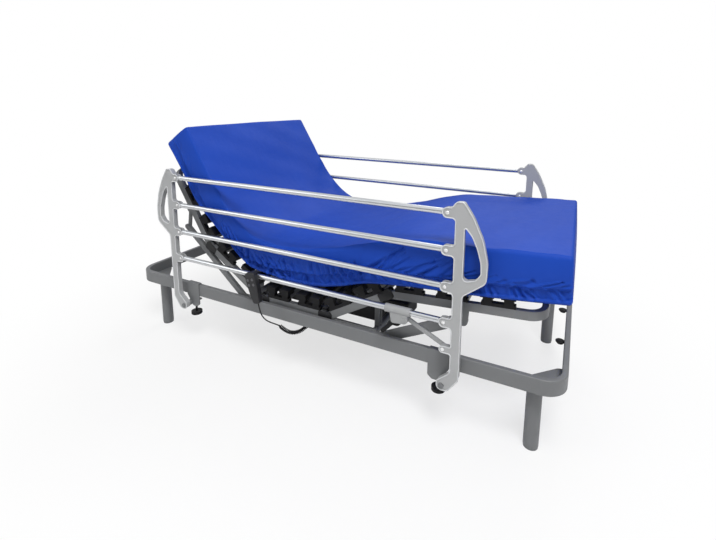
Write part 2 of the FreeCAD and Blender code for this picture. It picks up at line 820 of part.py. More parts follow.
def bar_between(name, start, end, radius, thickness, y, holes):
    """Flat bar with round ends from start to end, bored at the ends that holes names."""
    span = end - start
    length = math.hypot(span.x, span.z)
    wires = [rounded_outline(capsule(length, radius))]
    for x, bore in holes:
        wires.append(circle(x if x == 0 else length, 0, bore))
    angle = -math.degrees(math.atan2(span.z, span.x))
    return padded_body(name, wires, "XZ_Plane", thickness, Vector(start.x, y, start.z), angle)


def make_guides():
    pivot, elbow, lug = guide_points()
    bore = size["link_pin_radius"] + shaft_play
    pivot_bore = size["guide_pin_radius"] + shaft_play
    half = size["guide_width"] / 2
    guides = []
    links = []
    for tag, sign in (("near", -1), ("far", 1)):
        y = sign * size["guide_half_span"]
        guides.append(bar_between("head_guide_" + tag, pivot, elbow, size["guide_height"] / 2,
                                  "Dimensions.guide_width", y, [(0, pivot_bore), (1, bore)]))
        link_y = sign * (size["guide_half_span"] - half - side_play - size["link_plate"] / 2)
        plate = bar_between("guide_link_plate_" + tag, elbow, lug, 10, "Dimensions.link_plate", link_y, [])
        pin = rod("guide_link_pin_" + tag, (elbow.x, link_y, elbow.z),
                  (elbow.x, sign * (size["guide_half_span"] + half + 1), elbow.z), "Dimensions.link_pin_radius")
        links.append(fused("guide_link_" + tag, plate, pin))
    keep("head_guides", group("head_guides", guides))
    keep("guide_links", group("guide_links", links))


def make_struts():
    pivot = strut_pivot()
    lug = calf_place.multVec(Vector(size["calf_lug_reach"], 0, -size["calf_lug_drop"]))
    bore = size["link_pin_radius"] + shaft_play
    struts = []
    for tag, sign in (("near", -1), ("far", 1)):
        struts.append(bar_between("calf_strut_" + tag, pivot, lug, size["strut_height"] / 2,
                                  "Dimensions.strut_width", sign * size["strut_half_span"], [(0, bore)]))
    keep("calf_struts", group("calf_struts", struts))


# Twin drive: a long housing that hangs on both shafts, with a carriage at each end

def make_drive(back_shaft, leg_shaft):
    half = size["drive_half_width"]
    low = size["drive_bottom"]
    high = size["drive_top"]
    end = size["drive_end"]
    first = back_shaft.x - end
    last = leg_shaft.x + end
    middle = (first + last) / 2
    step = 110
    profile = [(first, back_shaft.z - 40, 20), (first + 50, low, 18), (last - 50, low, 18),
               (last, leg_shaft.z - 40, 20), (last, high, 10), (middle + step, high, 14),
               (middle + step - 22, high + 34, 12), (middle - step + 22, high + 34, 12),
               (middle - step, high, 14), (first, high, 10)]
    shell = padded_body("drive_shell", [rounded_outline(profile)], "XZ_Plane", "Dimensions.drive_half_width * 2")
    motors = [rod("motor_" + tag, (middle + shift, -half - 16, low + 48), (middle + shift, half + 16, low + 48), 38)
              for tag, shift in (("back", -62), ("leg", 62))]
    gland = rod("cord_gland", (gland_point().x, -half + 2, gland_point().z),
                (gland_point().x, gland_point().y, gland_point().z), 9)
    solid = fused("drive_solid", shell, gland, *motors)
    slot = size["drive_slot"] / 2
    swing = paddle_reach()[0] + paddle_radius + 4
    travel = carriage_far() + 6
    tools = []
    for tag, shaft, push in (("back", back_shaft, -1), ("leg", leg_shaft, 1)):
        tools.append(rod("shaft_seat_" + tag, (shaft.x, -half - 1, shaft.z), (shaft.x, half + 1, shaft.z),
                         size["shaft_radius"] + shaft_play))
        reach = sorted((shaft.x + push * swing, shaft.x - push * travel))
        tools.append(slab("paddle_slot_" + tag, (reach[0], -slot, low + 8), (reach[1], slot, high + 40)))
    inlet_y = half + 16
    tools.append(slab("mains_inlet", (middle - 14, half - 14, high - 34), (middle + 14, inlet_y, high - 12)))
    keep("drive_housing", cut("drive_housing", solid, group("drive_tools", tools)))
    for name, shaft, push, turn in (("back_carriage", back_shaft, -1, size["back_angle"]),
                                    ("leg_carriage", leg_shaft, 1, size["thigh_angle"])):
        near_face = carriage_face(turn)
        reach = sorted((shaft.x - push * near_face, shaft.x - push * (near_face + size["carriage_length"])))
        keep(name, slab(name, (reach[0], -slot + side_play, low + 8 + side_play),
                        (reach[1], slot - side_play, carriage_top)))


def paddle_edge(lean):
    """How far the paddle, leaning by an angle, reaches over a carriage's top edge."""
    turn = math.radians(lean)
    top = carriage_top - (deck_z - size["shaft_drop"])
    tip_x = size["paddle_length"] * math.sin(turn)
    tip_z = -size["paddle_length"] * math.cos(turn)
    if top >= tip_z + paddle_radius * math.sin(turn):
        return (paddle_radius - top * math.sin(turn)) / math.cos(turn)
    return tip_x + math.sqrt(paddle_radius ** 2 - min(0, top - tip_z) ** 2)


def carriage_face(hinge_turn):
    """Distance of the carriage's face from its shaft, moving evenly with the hinge."""
    span, swing = paddle_reach()
    share = 1 - 2 * hinge_turn / size["back_limit"]
    shares = [step / 20 for step in range(-20, 21)]
    offset = max(paddle_edge(swing * part) - span * part for part in shares)
    return span * share + offset + side_play


def carriage_far():
    return carriage_face(0) + size["carriage_length"]


def gland_point():
    return Vector(60, -(size["drive_half_width"] + 14), 186)


# Side rails: two cast uprights and four tubes per side, a parallelogram that folds down

def tube_rises():
    return [size["lowest_tube_rise"] + number * size["rail_tube_pitch"] for number in range(4)]


def upright_outline(outward, with_brace):
    """Cast upright with a lug per tube, a loop handle outside and a foot bent in to the pivot."""
    inner = size["bar_inner"]
    outer = size["bar_outer"]
    lug = size["lug_radius"]
    pivot = 16
    rises = tube_rises()
    top = rises[-1]
    points = [(-pivot, -pivot, pivot - 0.1), (pivot + 4, -pivot, 14), (outer, 34, 30),
              (outer, top - 272, 24), (131, top - 214, 30), (132, top - 150, 110),
              (116, top - 80, 150), (84, top - 10, 150), (52, top + 38, 14), (30, top + 37, 10),
              (13, top + lug, 5), (-lug, top + lug, lug - 0.1), (-lug, top - lug, lug - 0.1),
              (inner, top - lug, 13)]
    for rise in reversed(rises[:-1]):
        points += lug_corners(inner, rise, lug)
    if with_brace:
        points += lug_corners(inner, size["brace_lug_rise"], size["brace_lug_radius"])
    points += [(inner, 52, 30), (-pivot, 14, 10)]
    ordered = [(outward * x, z, r) for x, z, r in points]
    return rounded_outline(ordered)


def lug_corners(inner, rise, radius):
    fillet = radius - 3
    round_end = radius - 0.1
    return [(inner, rise + radius, fillet), (-radius, rise + radius, round_end),
            (-radius, rise - radius, round_end), (inner, rise - radius, fillet)]


def handle_opening(outward):
    top = tube_rises()[-1]
    wall = size["bar_outer"] - 1
    points = [(wall, top - 36, 5), (wall, top - 224, 14), (98, top - 212, 16), (115, top - 188, 20),
              (113, top - 150, 100), (100, top - 106, 130), (83, top - 68, 60)]
    return rounded_outline([(outward * x, z, r) for x, z, r in points])


def make_upright(label, x, y, outward, with_brace):
    wires = [upright_outline(outward, with_brace), handle_opening(outward), circle(0, 0, size["eye_bore"])]
    body = padded_body(label + "_casting", wires, "XZ_Plane", "Dimensions.upright_thickness")
    slots = []
    depth = size["lug_slot"] / 2
    for number, rise in enumerate(tube_rises()):
        reach = sorted((-outward * (size["lug_radius"] + 6), outward * 12))
        slots.append(slab("%s_slot_%d" % (label, number), (reach[0], -depth, rise - 22),
                          (reach[1], depth, rise + 22)))
    slotted = cut(label + "_slotted", body, group(label + "_slots", slots))
    half = size["upright_thickness"] / 2
    pins = [rod("%s_pin_%d" % (label, number), (0, -half - 1, rise), (0, half + 1, rise),
                "Dimensions.rail_pin_radius") for number, rise in enumerate(tube_rises())]
    if with_brace:
        rise = size["brace_lug_rise"]
        pins.append(rod(label + "_brace_pin", (0, -half - 1, rise), (0, half + 1, rise),
                        "Dimensions.rail_pin_radius"))
    upright = fused(label, slotted, *pins)
    upright.Placement = Placement(Vector(x, y, size["rail_pivot_height"]), Rotation())
    keep(label, upright)


def make_rail_tube(label, x_head, x_foot, y, z):
    start = x_head + size["lug_radius"] + 1.5
    end = x_foot - size["lug_radius"] - 1.5
    tube = rod(label + "_tube", (start, y, z), (end, y, z), "Dimensions.rail_tube_radius")
    outline = rounded_outline(capsule(x_foot - x_head, size["tongue_height"] / 2))
    bores = [circle(0, 0, size["rail_pin_radius"] + shaft_play),
             circle(x_foot - x_head, 0, size["rail_pin_radius"] + shaft_play)]
    tongue = padded_body(label + "_tongues", [outline] + bores, "XZ_Plane", "Dimensions.tongue_thickness",
                         Vector(x_head, y, z))
    keep(label, fused(label, tube, tongue))


def lock_link_points(foot_x):
    pivot_z = size["rail_pivot_height"]
    tube_z = pivot_z + size["lowest_tube_rise"]
    pin = Vector(foot_x - size["lock_pin_back"], 0, tube_z - size["lock_pin_drop"])
    lug = Vector(foot_x, 0, pivot_z + size["brace_lug_rise"])
    return pin, lug


def make_lock(prefix, foot_x, y, inboard):
    """Sleeve on the lowest tube, brace link to the foot upright and release lever."""
    tube_z = size["rail_pivot_height"] + size["lowest_tube_rise"]
    pin, lug = lock_link_points(foot_x)
    low_x = foot_x - size["sleeve_far"]
    high_x = foot_x - size["sleeve_near"]
    barrel = rod(prefix + "_sleeve_barrel", (low_x, y, tube_z), (high_x, y, tube_z), "Dimensions.sleeve_radius")
    left = low_x + 20 - foot_x
    right = -size["lock_pin_back"] + 14
    hanger = [(left, -8, 0), (left + 6, -48, 8), (right - 8, -size["lock_pin_drop"] - 15, 13),
              (right, -size["lock_pin_drop"] - 8, 11), (right, -8, 0)]
    block = padded_body(prefix + "_sleeve_hanger", [rounded_outline(hanger)], "XZ_Plane",
                        "Dimensions.upright_thickness", Vector(foot_x, y, tube_z))
    tools = [rod(prefix + "_sleeve_bore", (low_x - 1, y, tube_z), (high_x + 1, y, tube_z),
                 size["rail_tube_radius"] + shaft_play),
             rod(prefix + "_link_bore", (pin.x, y - 20, pin.z), (pin.x, y + 20, pin.z),
                 size["rail_pin_radius"] + shaft_play)]
    lever_half = size["lever_thickness"] / 2 + side_play
    hinge = lever_hinge(foot_x)
    tools.append(slab(prefix + "_lever_slot", (hinge.x - 40, y - lever_half, hinge.z - 30),
                      (hinge.x + 13, y + lever_half, hinge.z + 12)))
    body = fused(prefix + "_sleeve_solid", barrel, block)
    bored = cut(prefix + "_sleeve_bored", body, group(prefix + "_sleeve_tools", tools))
    lever_pin = rod(prefix + "_lever_pin", (hinge.x, y - 9, hinge.z), (hinge.x, y + 9, hinge.z),
                    "Dimensions.rail_pin_radius")
    keep(prefix + "_lock_sleeve", fused(prefix + "_lock_sleeve", bored, lever_pin))

    plate_y = y + inboard * (size["upright_thickness"] / 2 + 1 + side_play + 2.5)
    plate = bar_between(prefix + "_brace_plate", pin, lug, 8, "Dimensions.link_plate", plate_y, [])
    head_y = y - inboard * (size["upright_thickness"] / 2 + 1.5)
    stud = rod(prefix + "_brace_stud", (pin.x, plate_y, pin.z), (pin.x, head_y, pin.z),
               "Dimensions.rail_pin_radius")
    head = rod(prefix + "_brace_stud_head", (pin.x, y - inboard * (size["upright_thickness"] / 2 + side_play), pin.z),
               (pin.x, y - inboard * (size["upright_thickness"] / 2 + 3), pin.z), 6.5)
    keep(prefix + "_brace_link", fused(prefix + "_brace_link", plate, stud, head))

    tip = hinge + Vector(-math.cos(math.radians(47)), 0, -math.sin(math.radians(47))) * size["lever_length"]
    lever = bar_between(prefix + "_release_lever", hinge, tip, 7.5, "Dimensions.lever_thickness", y,
                        [(0, size["rail_pin_radius"] + shaft_play)])
    keep(prefix + "_release_lever", lever)


def lever_hinge(foot_x):
    tube_z = size["rail_pivot_height"] + size["lowest_tube_rise"]
    return Vector(foot_x - size["sleeve_far"] + 42, 0, tube_z - 36)


def make_rail(prefix, side, shift):
    y = side * size["rail_plane"]
    head_x = size["rail_head_pin"] + shift
    foot_x = size["rail_foot_pin"] + shift
    make_upright(prefix + "_head_upright", head_x, y, -1, False)
    make_upright(prefix + "_foot_upright", foot_x, y, 1, True)
    for number, rise in enumerate(tube_rises(), start=1):
        make_rail_tube("%s_rail_tube_%d" % (prefix, number), head_x, foot_x, y, size["rail_pivot_height"] + rise)
    make_lock(prefix, foot_x, y, -side)


def clamp_place(end):
    """X of the clamp's middle; it stands inside the rail's pivot."""
    return {"head": size["rail_head_pin"] + size["clamp_offset"],
            "foot": size["rail_foot_pin"] - size["clamp_offset"]}[end]


def make_clamp(name, side, pivot_x, middle_x, toward):
    """Clamp plate hooked over the loop, with the stub that carries the upright."""
    plate = size["clamp_plate"]
    half = size["clamp_width"] / 2
    top = size["loop_top"] + plate
    bottom = size["rail_pivot_height"] - 13
    outline = [(middle_x - half, top, 3), (middle_x + half, top, 3),
               (middle_x + half, bottom + (14 if toward > 0 else 52), 8),
               (middle_x + half - (16 if toward > 0 else 34), bottom, 10),
               (middle_x - half + (34 if toward > 0 else 16), bottom, 10),
               (middle_x - half, bottom + (52 if toward > 0 else 14), 8)]
    face_y = side * half_width
    outer_y = face_y + side * plate
    body = padded_body(name + "_plate", [rounded_outline(outline)], "XZ_Plane", "Dimensions.clamp_plate",
                       Vector(0, face_y + side * plate / 2, 0))
    lip = sorted((side * (loop_inner + 3), outer_y))
    top_lip = slab(name + "_top_lip", (middle_x - half + 3, lip[0], size["loop_top"]),
                   (middle_x + half - 3, lip[1], top))
    jaw = sorted((side * (loop_inner - 4), outer_y))
    low_lip = slab(name + "_low_lip", (middle_x - 24, jaw[0], loop_bottom - 26), (middle_x + 24, jaw[1], loop_bottom - 20))
    rail_y = side * size["rail_plane"]
    upright_half = size["upright_thickness"] / 2
    pivot_z = size["rail_pivot_height"]
    boss_end = rail_y - side * (upright_half + side_play)
    boss = rod(name + "_boss", (pivot_x, face_y + side * 1, pivot_z), (pivot_x, boss_end, pivot_z), 13)
    pin_end = rail_y + side * (upright_half + 4)
    pin = rod(name + "_pin", (pivot_x, boss_end, pivot_z), (pivot_x, pin_end, pivot_z), size["eye_bore"] - shaft_play)
    head = rod(name + "_pin_head", (pivot_x, rail_y + side * (upright_half + side_play), pivot_z),
               (pivot_x, pin_end, pivot_z), 10)
    solid = fused(name + "_solid", body, top_lip, low_lip, boss, pin, head)
    knob_y = side * (half_width - size["loop_wall"] / 2)
    hole = rod(name + "_screw_hole", (middle_x, knob_y, loop_bottom - 30), (middle_x, knob_y, loop_bottom - 10),
               size["knob_stem_radius"] + side_play)
    knob_low = size["knob_bottom"]
    stem = rod(name + "_screw", (middle_x, knob_y, knob_low + size["knob_height"] - 1),
               (middle_x, knob_y, loop_bottom - seat_gap), "Dimensions.knob_stem_radius")
    disc = rod(name + "_disc", (middle_x, knob_y, knob_low), (middle_x, knob_y, knob_low + size["knob_height"]),
               "Dimensions.knob_radius")
    return cut(name, solid, hole), fused(name + "_knob", stem, disc)


def make_clamps():
    clamps = []
    for prefix, side, shift in (("near", -1, 0), ("far", 1, size["far_rail_shift"])):
        for end, pin_x, toward in (("head", size["rail_head_pin"], 1), ("foot", size["rail_foot_pin"], -1)):
            name = "%s_%s_clamp" % (prefix, end)
            clamp, knob = make_clamp(name, side, pin_x + shift, clamp_place(end) + shift, toward)
            clamps.append(clamp)
            keep("%s_%s_knob" % (prefix, end), knob)
    keep("rail_clamps", group("rail_clamps", clamps))


# Handset: hangs by its hook on the near rail's lowest tube

def handset_place():
    tube_z = size["rail_pivot_height"] + size["lowest_tube_rise"]
    front = -(size["rail_plane"] + size["rail_tube_radius"] + 1.5 + size["handset_thickness"] / 2)
    top = Vector(size["handset_top_x"], front, tube_z + 21)
    return Placement(top, Rotation(turn_y, -size["handset_lean"]))


def button_places():
    return [(side * 12, -30 - row * 22) for row in range(2) for side in (-1, 1)]


def make_handset():
    top = size["handset_top_width"] / 2
    low = size["handset_low_width"] / 2
    length = size["handset_length"]
    thick = size["handset_thickness"]
    outline = [(-top, 0, 14), (top, 0, 14), (top - 1, -length * 0.45, 60), (low, -length, 12),
               (-low, -length, 12), (-top + 1, -length * 0.45, 60)]
    place = handset_place()
    case = padded_body("handset_case", [rounded_outline(outline)], "XZ_Plane", "Dimensions.handset_thickness")
    doc.recompute()
    pad = case.Tip
    front = -thick / 2
    rim = ["Edge%d" % (number + 1) for number, edge in enumerate(pad.Shape.Edges)
           if edge.BoundBox.YLength < 0.01 and abs(edge.BoundBox.YMin - front) < 0.01]
    fillet = case.newObject("PartDesign::Fillet", "handset_rim")
    fillet.Base = (pad, rim)
    bind(fillet, Radius="Dimensions.handset_edge")
    case.Tip = fillet
    wells = [rod("button_well_%d" % number, (x, front - 1, z), (x, front + 4, z),
                 size["button_radius"] + side_play) for number, (x, z) in enumerate(button_places())]
    shell = cut("handset_shell", case, group("button_wells", wells))
    shell.Placement = place
    tube_y = -size["rail_plane"]
    radius = size["rail_tube_radius"]
    tube_z = size["rail_pivot_height"] + size["lowest_tube_rise"]
    middle = size["handset_top_x"] + 6
    back_y = place.Base.y + thick / 2
    bridge = slab("hook_bridge", (middle - 14, back_y - 4, tube_z + radius + 0.5),
                  (middle + 14, tube_y + radius + 4.2, tube_z + radius + 4))
    prong = slab("hook_prong", (middle - 14, tube_y + radius + 0.7, tube_z - 8),
                 (middle + 14, tube_y + radius + 4.2, tube_z + radius + 4))
    keep("handset", fused("handset", shell, bridge, prong))
    for number, (x, z) in enumerate(button_places(), start=1):
        button = rod("handset_button_%d" % number, (x, front - 2, z), (x, front + 2.4, z), "Dimensions.button_radius")
        button.Placement = place.multiply(button.Placement)
        keep("handset_button_%d" % number, button)


# Cord: straight runs joined by tangent arcs

def cord_tube(label, points, diameter):
    edges = []
    at = points[0]
    for before, corner, after in zip(points, points[1:], points[2:]):
        back = before - corner
        ahead = after - corner
        run = min(back.Length, ahead.Length)
        turn = math.pi - back.getAngle(ahead)
        setback = 0.45 * run
        radius = setback / math.tan(turn / 2)
        start = corner + back.normalize() * setback
        end = corner + ahead.normalize() * setback
        bisector = (back + ahead).normalize()
        middle = corner + bisector * (radius / math.cos(turn / 2) - radius)
        edges.append(Part.LineSegment(at, start).toShape())
        edges.append(Part.Arc(start, middle, end).toShape())
        at = end
        print(label, "bend radius", round(radius, 1), "turn", round(math.degrees(turn), 1))
    edges.append(Part.LineSegment(at, points[-1]).toShape())
    path = Part.Wire(edges)
    direction = (points[1] - points[0]).normalize()
    ring = Part.Wire([Part.Circle(points[0], direction, diameter / 2).toShape()])
    tube = path.makePipeShell([ring], True, False)
    area = math.pi * diameter * diameter / 4
    print(label, "length", round(path.Length, 1), "volume ratio", round(tube.Volume / (area * path.Length), 4))
    return feature(label, tube)


def make_cord():
    lean = math.radians(size["handset_lean"])
    down = Vector(math.sin(lean), 0, -math.cos(lean))
    exit_point = handset_place().multVec(Vector(0, 0, -size["handset_length"]))
    join = Vector(-84, -458, 236)
    along = Vector(26, 14, -14)
    lead = [exit_point, exit_point + down * 26, Vector(-156, -485, 282), Vector(-136, -481, 260), join - along, join]
    gland = gland_point()
    curl = [join, join + along * 0.9, Vector(-36, -431, 215), Vector(-12, -411, 217), Vector(8, -388, 231),
            Vector(22, -358, 252), Vector(32, -318, 268), Vector(41, -270, 264), Vector(50, -220, 243),
            Vector(57, -170, 213), gland - Vector(0, 48, 0), gland]
    pieces = [cord_tube("handset_lead", lead, size["lead_diameter"]),
              cord_tube("handset_curl", curl, size["curl_diameter"])]
    keep("handset_cord", group("handset_cord", pieces))


make_base_loop()
make_frame_members()
make_legs()
make_deck_frames()
make_hinges()
make_slat_sets()
make_mattress()
back_shaft = make_lift("back_lift", hip, -1, size["back_angle"])
leg_shaft = make_lift("leg_lift", thigh_hinge, 1, size["thigh_angle"])
make_guides()
make_struts()
make_drive(back_shaft, leg_shaft)
make_rail("near", -1, 0)
make_rail("far", 1, size["far_rail_shift"])
make_clamps()
make_handset()
make_cord()

doc.recompute()

for item in doc.Objects:
    if "Invalid" in item.State or "Error" in item.State:
        raise RuntimeError("failed feature: " + item.Name)

os.makedirs("parts", exist_ok=True)
for label, item in nodes.items():
    shape = item.Shape
    if shape.isNull() or not shape.isValid():
        raise RuntimeError("bad shape: " + label)
    shape.exportStep("parts/" + label + ".step")
print(len(nodes), "nodes")
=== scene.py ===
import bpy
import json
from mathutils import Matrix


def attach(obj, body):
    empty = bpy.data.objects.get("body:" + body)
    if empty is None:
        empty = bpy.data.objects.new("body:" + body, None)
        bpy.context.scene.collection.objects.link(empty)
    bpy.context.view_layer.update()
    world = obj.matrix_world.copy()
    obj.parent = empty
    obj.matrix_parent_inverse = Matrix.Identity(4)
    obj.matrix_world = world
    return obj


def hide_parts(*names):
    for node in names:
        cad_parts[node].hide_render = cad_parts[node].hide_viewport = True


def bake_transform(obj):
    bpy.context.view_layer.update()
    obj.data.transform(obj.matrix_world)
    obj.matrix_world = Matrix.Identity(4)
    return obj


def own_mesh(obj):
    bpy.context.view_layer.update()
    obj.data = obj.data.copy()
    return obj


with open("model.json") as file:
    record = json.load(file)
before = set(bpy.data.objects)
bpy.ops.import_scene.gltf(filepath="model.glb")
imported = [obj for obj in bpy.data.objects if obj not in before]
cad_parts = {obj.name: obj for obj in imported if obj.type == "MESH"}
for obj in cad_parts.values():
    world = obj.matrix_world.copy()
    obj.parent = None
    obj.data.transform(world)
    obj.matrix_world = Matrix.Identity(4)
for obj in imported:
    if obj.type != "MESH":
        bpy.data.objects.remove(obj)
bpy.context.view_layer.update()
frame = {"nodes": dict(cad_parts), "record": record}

import json
import math

import bpy
import numpy as np

nodes = frame["nodes"]
print("frame loaded:", len(nodes), "nodes")


# camera, at the photograph's viewing angle

camera = {
    "place": (0.96694, -1.75600, 1.17397),
    "yaw": 26.641,
    "pitch": -9.689,
    "roll": -0.288,
    "lens": 21.316,
    "shift": (-0.01168, -0.13901),
}


def addCamera():
    data = bpy.data.cameras.new("viewCamera")
    data.sensor_width = 36
    data.lens = camera["lens"]
    data.shift_x, data.shift_y = camera["shift"]
    data.clip_end = 60
    item = bpy.data.objects.new("viewCamera", data)
    bpy.context.scene.collection.objects.link(item)
    item.location = camera["place"]
    # tilt up from straight down, then roll about the view line, then turn about the vertical
    item.rotation_mode = "XYZ"
    item.rotation_euler = (math.radians(90 + camera["pitch"]), math.radians(camera["roll"]),
                           math.radians(camera["yaw"]))
    bpy.context.scene.camera = item


addCamera()
bpy.context.scene.view_settings.view_transform = "Standard"
print("camera placed")


# small node helpers

def newMaterial(name):
    material = bpy.data.materials.new(name)
    material.use_nodes = True
    tree = material.node_tree
    tree.nodes.clear()
    out = tree.nodes.new("ShaderNodeOutputMaterial")
    shader = tree.nodes.new("ShaderNodeBsdfPrincipled")
    tree.links.new(shader.outputs[0], out.inputs[0])
    return material, tree, shader


def newGroup(name, inputs, outputs):
    group = bpy.data.node_groups.new(name, "ShaderNodeTree")
    for label, kind, value in inputs:
        socket = group.interface.new_socket(label, in_out="INPUT", socket_type=kind)
        if value is not None:
            socket.default_value = value
    for label, kind in outputs:
        group.interface.new_socket(label, in_out="OUTPUT", socket_type=kind)
    return group, group.nodes.new("NodeGroupInput"), group.nodes.new("NodeGroupOutput")


def place(tree, group, **values):
    node = tree.nodes.new("ShaderNodeGroup")
    node.node_tree = group
    for label, value in values.items():
        node.inputs[label].default_value = value
    return node


def calc(tree, kind, a, b=None, c=None):
    node = tree.nodes.new("ShaderNodeMath")
    node.operation = kind
    for socket, value in zip(node.inputs, (a, b, c)):
        if value is None:
            continue
        if isinstance(value, (int, float)):
            socket.default_value = value
        else:
            tree.links.new(value, socket)
    return node.outputs[0]


def noise(tree, coords, scale, detail=3.0):
    node = tree.nodes.new("ShaderNodeTexNoise")
    node.inputs["Detail"].default_value = detail
    if isinstance(scale, (int, float)):
        node.inputs["Scale"].default_value = scale
    else:
        tree.links.new(scale, node.inputs["Scale"])
    tree.links.new(coords, node.inputs["Vector"])
    return node.outputs["Fac"]


def colourMix(tree, factor, first, second):
    node = tree.nodes.new("ShaderNodeMix")
    node.data_type = "RGBA"
    for socket, value in ((node.inputs[0], factor), (node.inputs[6], first), (node.inputs[7], second)):
        if isinstance(value, (tuple, int, float)):
            socket.default_value = value
        else:
            tree.links.new(value, socket)
    return node.outputs[2]


def objectCoords(tree):
    return tree.nodes.new("ShaderNodeTexCoord").outputs["Object"]


# grain: fine bumps and a slow change of tone; the height is a fine noise, the tone a coarse one
def makeGrain():
    group, source, out = newGroup("surfaceGrain", [
        ("Coords", "NodeSocketVector", None), ("Scale", "NodeSocketFloat", 900.0),
        ("Colour", "NodeSocketColor", (0.5, 0.5, 0.5, 1)), ("Variation", "NodeSocketFloat", 0.08),
        ("Roughness", "NodeSocketFloat", 0.4), ("Spread", "NodeSocketFloat", 0.1)],
        [("Colour", "NodeSocketColor"), ("Roughness", "NodeSocketFloat"), ("Height", "NodeSocketFloat")])
    fine = noise(group, source.outputs["Coords"], source.outputs["Scale"], 2.0)
    slow = noise(group, source.outputs["Coords"], 9.0, 4.0)
    centred = calc(group, "SUBTRACT", slow, 0.5)
    tone = calc(group, "MULTIPLY_ADD", centred, source.outputs["Variation"], 1.0)
    scaled = group.nodes.new("ShaderNodeVectorMath")
    scaled.operation = "SCALE"
    group.links.new(source.outputs["Colour"], scaled.inputs[0])
    group.links.new(tone, scaled.inputs["Scale"])
    group.links.new(scaled.outputs[0], out.inputs["Colour"])
    rough = calc(group, "MULTIPLY_ADD", centred, source.outputs["Spread"], source.outputs["Roughness"])
    group.links.new(rough, out.inputs["Roughness"])
    group.links.new(fine, out.inputs["Height"])
    return group


# dust: a mask that grows on faces that look up, broken by noise
def makeDust():
    group, source, out = newGroup("settledDust", [
        ("Coords", "NodeSocketVector", None), ("Normal", "NodeSocketVector", None),
        ("Amount", "NodeSocketFloat", 0.1)], [("Mask", "NodeSocketFloat")])
    split = group.nodes.new("ShaderNodeSeparateXYZ")
    group.links.new(source.outputs["Normal"], split.inputs[0])
    up = calc(group, "MAXIMUM", split.outputs[2], 0.0)
    patch = noise(group, source.outputs["Coords"], 22.0, 4.0)
    mask = calc(group, "MULTIPLY", calc(group, "MULTIPLY", up, patch), source.outputs["Amount"])
    group.links.new(mask, out.inputs["Mask"])
    return group


# brushed: streaks along the bed, from a noise stretched along X
def makeBrushed():
    group, source, out = newGroup("lengthStreaks", [
        ("Coords", "NodeSocketVector", None), ("Amount", "NodeSocketFloat", 0.1),
        ("Roughness", "NodeSocketFloat", 0.3)],
        [("Roughness", "NodeSocketFloat"), ("Height", "NodeSocketFloat")])
    stretch = group.nodes.new("ShaderNodeVectorMath")
    stretch.operation = "MULTIPLY"
    stretch.inputs[1].default_value = (6.0, 900.0, 900.0)
    group.links.new(source.outputs["Coords"], stretch.inputs[0])
    streak = noise(group, stretch.outputs[0], 1.0, 2.0)
    rough = calc(group, "MULTIPLY_ADD", calc(group, "SUBTRACT", streak, 0.5), source.outputs["Amount"],
                 source.outputs["Roughness"])
    group.links.new(rough, out.inputs["Roughness"])
    group.links.new(streak, out.inputs["Height"])
    return group


# weave: crossed threads, the product of two sine waves along the cloth's own UV map
def makeWeave():
    group, source, out = newGroup("clothWeave", [
        ("Coords", "NodeSocketVector", None), ("Threads", "NodeSocketFloat", 1400.0)],
        [("Height", "NodeSocketFloat")])
    split = group.nodes.new("ShaderNodeSeparateXYZ")
    group.links.new(source.outputs["Coords"], split.inputs[0])
    waves = [calc(group, "SINE", calc(group, "MULTIPLY", split.outputs[k], source.outputs["Threads"]))
             for k in (0, 1)]
    group.links.new(calc(group, "MULTIPLY_ADD", waves[0], waves[1], 0.5), out.inputs["Height"])
    return group


grainGroup, dustGroup, brushedGroup, weaveGroup = makeGrain(), makeDust(), makeBrushed(), makeWeave()


# bump from a height, over the normal of an earlier bump where there is one
def addBump(tree, height, distance, strength, before=None):
    bump = tree.nodes.new("ShaderNodeBump")
    bump.inputs["Distance"].default_value = distance
    bump.inputs["Strength"].default_value = strength
    tree.links.new(height, bump.inputs["Height"])
    if before is not None:
        tree.links.new(before, bump.inputs["Normal"])
    return bump.outputs[0]


# finishes of the hard parts

finishes = {
    "frame_paint": {"colour": (0.165, 0.170, 0.175, 1), "roughness": 0.42, "grain": 700.0, "bump": 0.05,
                    "coat": 0.12, "dust": 0.10},
    "rail_casting": {"colour": (0.385, 0.39, 0.395, 1), "roughness": 0.36, "grain": 800.0, "bump": 0.05,
                     "coat": 0.25, "dust": 0.05},
    "lock_metal": {"colour": (0.33, 0.335, 0.34, 1), "roughness": 0.38, "grain": 700.0, "bump": 0.05,
                   "coat": 0.15, "dust": 0.06},
    "black_plastic": {"colour": (0.008, 0.008, 0.009, 1), "roughness": 0.5, "grain": 1300.0, "bump": 0.12,
                      "specular": 0.2, "dust": 0.05},
    "black_paint": {"colour": (0.010, 0.010, 0.011, 1), "roughness": 0.4, "grain": 800.0, "bump": 0.05,
                    "specular": 0.25, "coat": 0.2, "dust": 0.06},
    "roller_plastic": {"colour": (0.55, 0.55, 0.53, 1), "roughness": 0.45, "grain": 900.0, "bump": 0.05,
                       "dust": 0.05},
    "drive_plastic": {"colour": (0.012, 0.012, 0.013, 1), "roughness": 0.5, "grain": 1200.0, "bump": 0.14,
                      "specular": 0.2, "dust": 0.12},
    "carriage_plastic": {"colour": (0.5, 0.5, 0.48, 1), "roughness": 0.45, "grain": 900.0, "bump": 0.05,
                         "dust": 0.05},
    "handset_shell": {"colour": (0.016, 0.016, 0.018, 1), "roughness": 0.42, "grain": 1300.0, "bump": 0.10,
                      "dust": 0.03},
    "handset_keys": {"colour": (0.10, 0.10, 0.11, 1), "roughness": 0.4, "grain": 1300.0, "bump": 0.05},
    "cord_sheath": {"colour": (0.012, 0.012, 0.013, 1), "roughness": 0.42, "grain": 1500.0, "bump": 0.04,
                    "specular": 0.2},
}
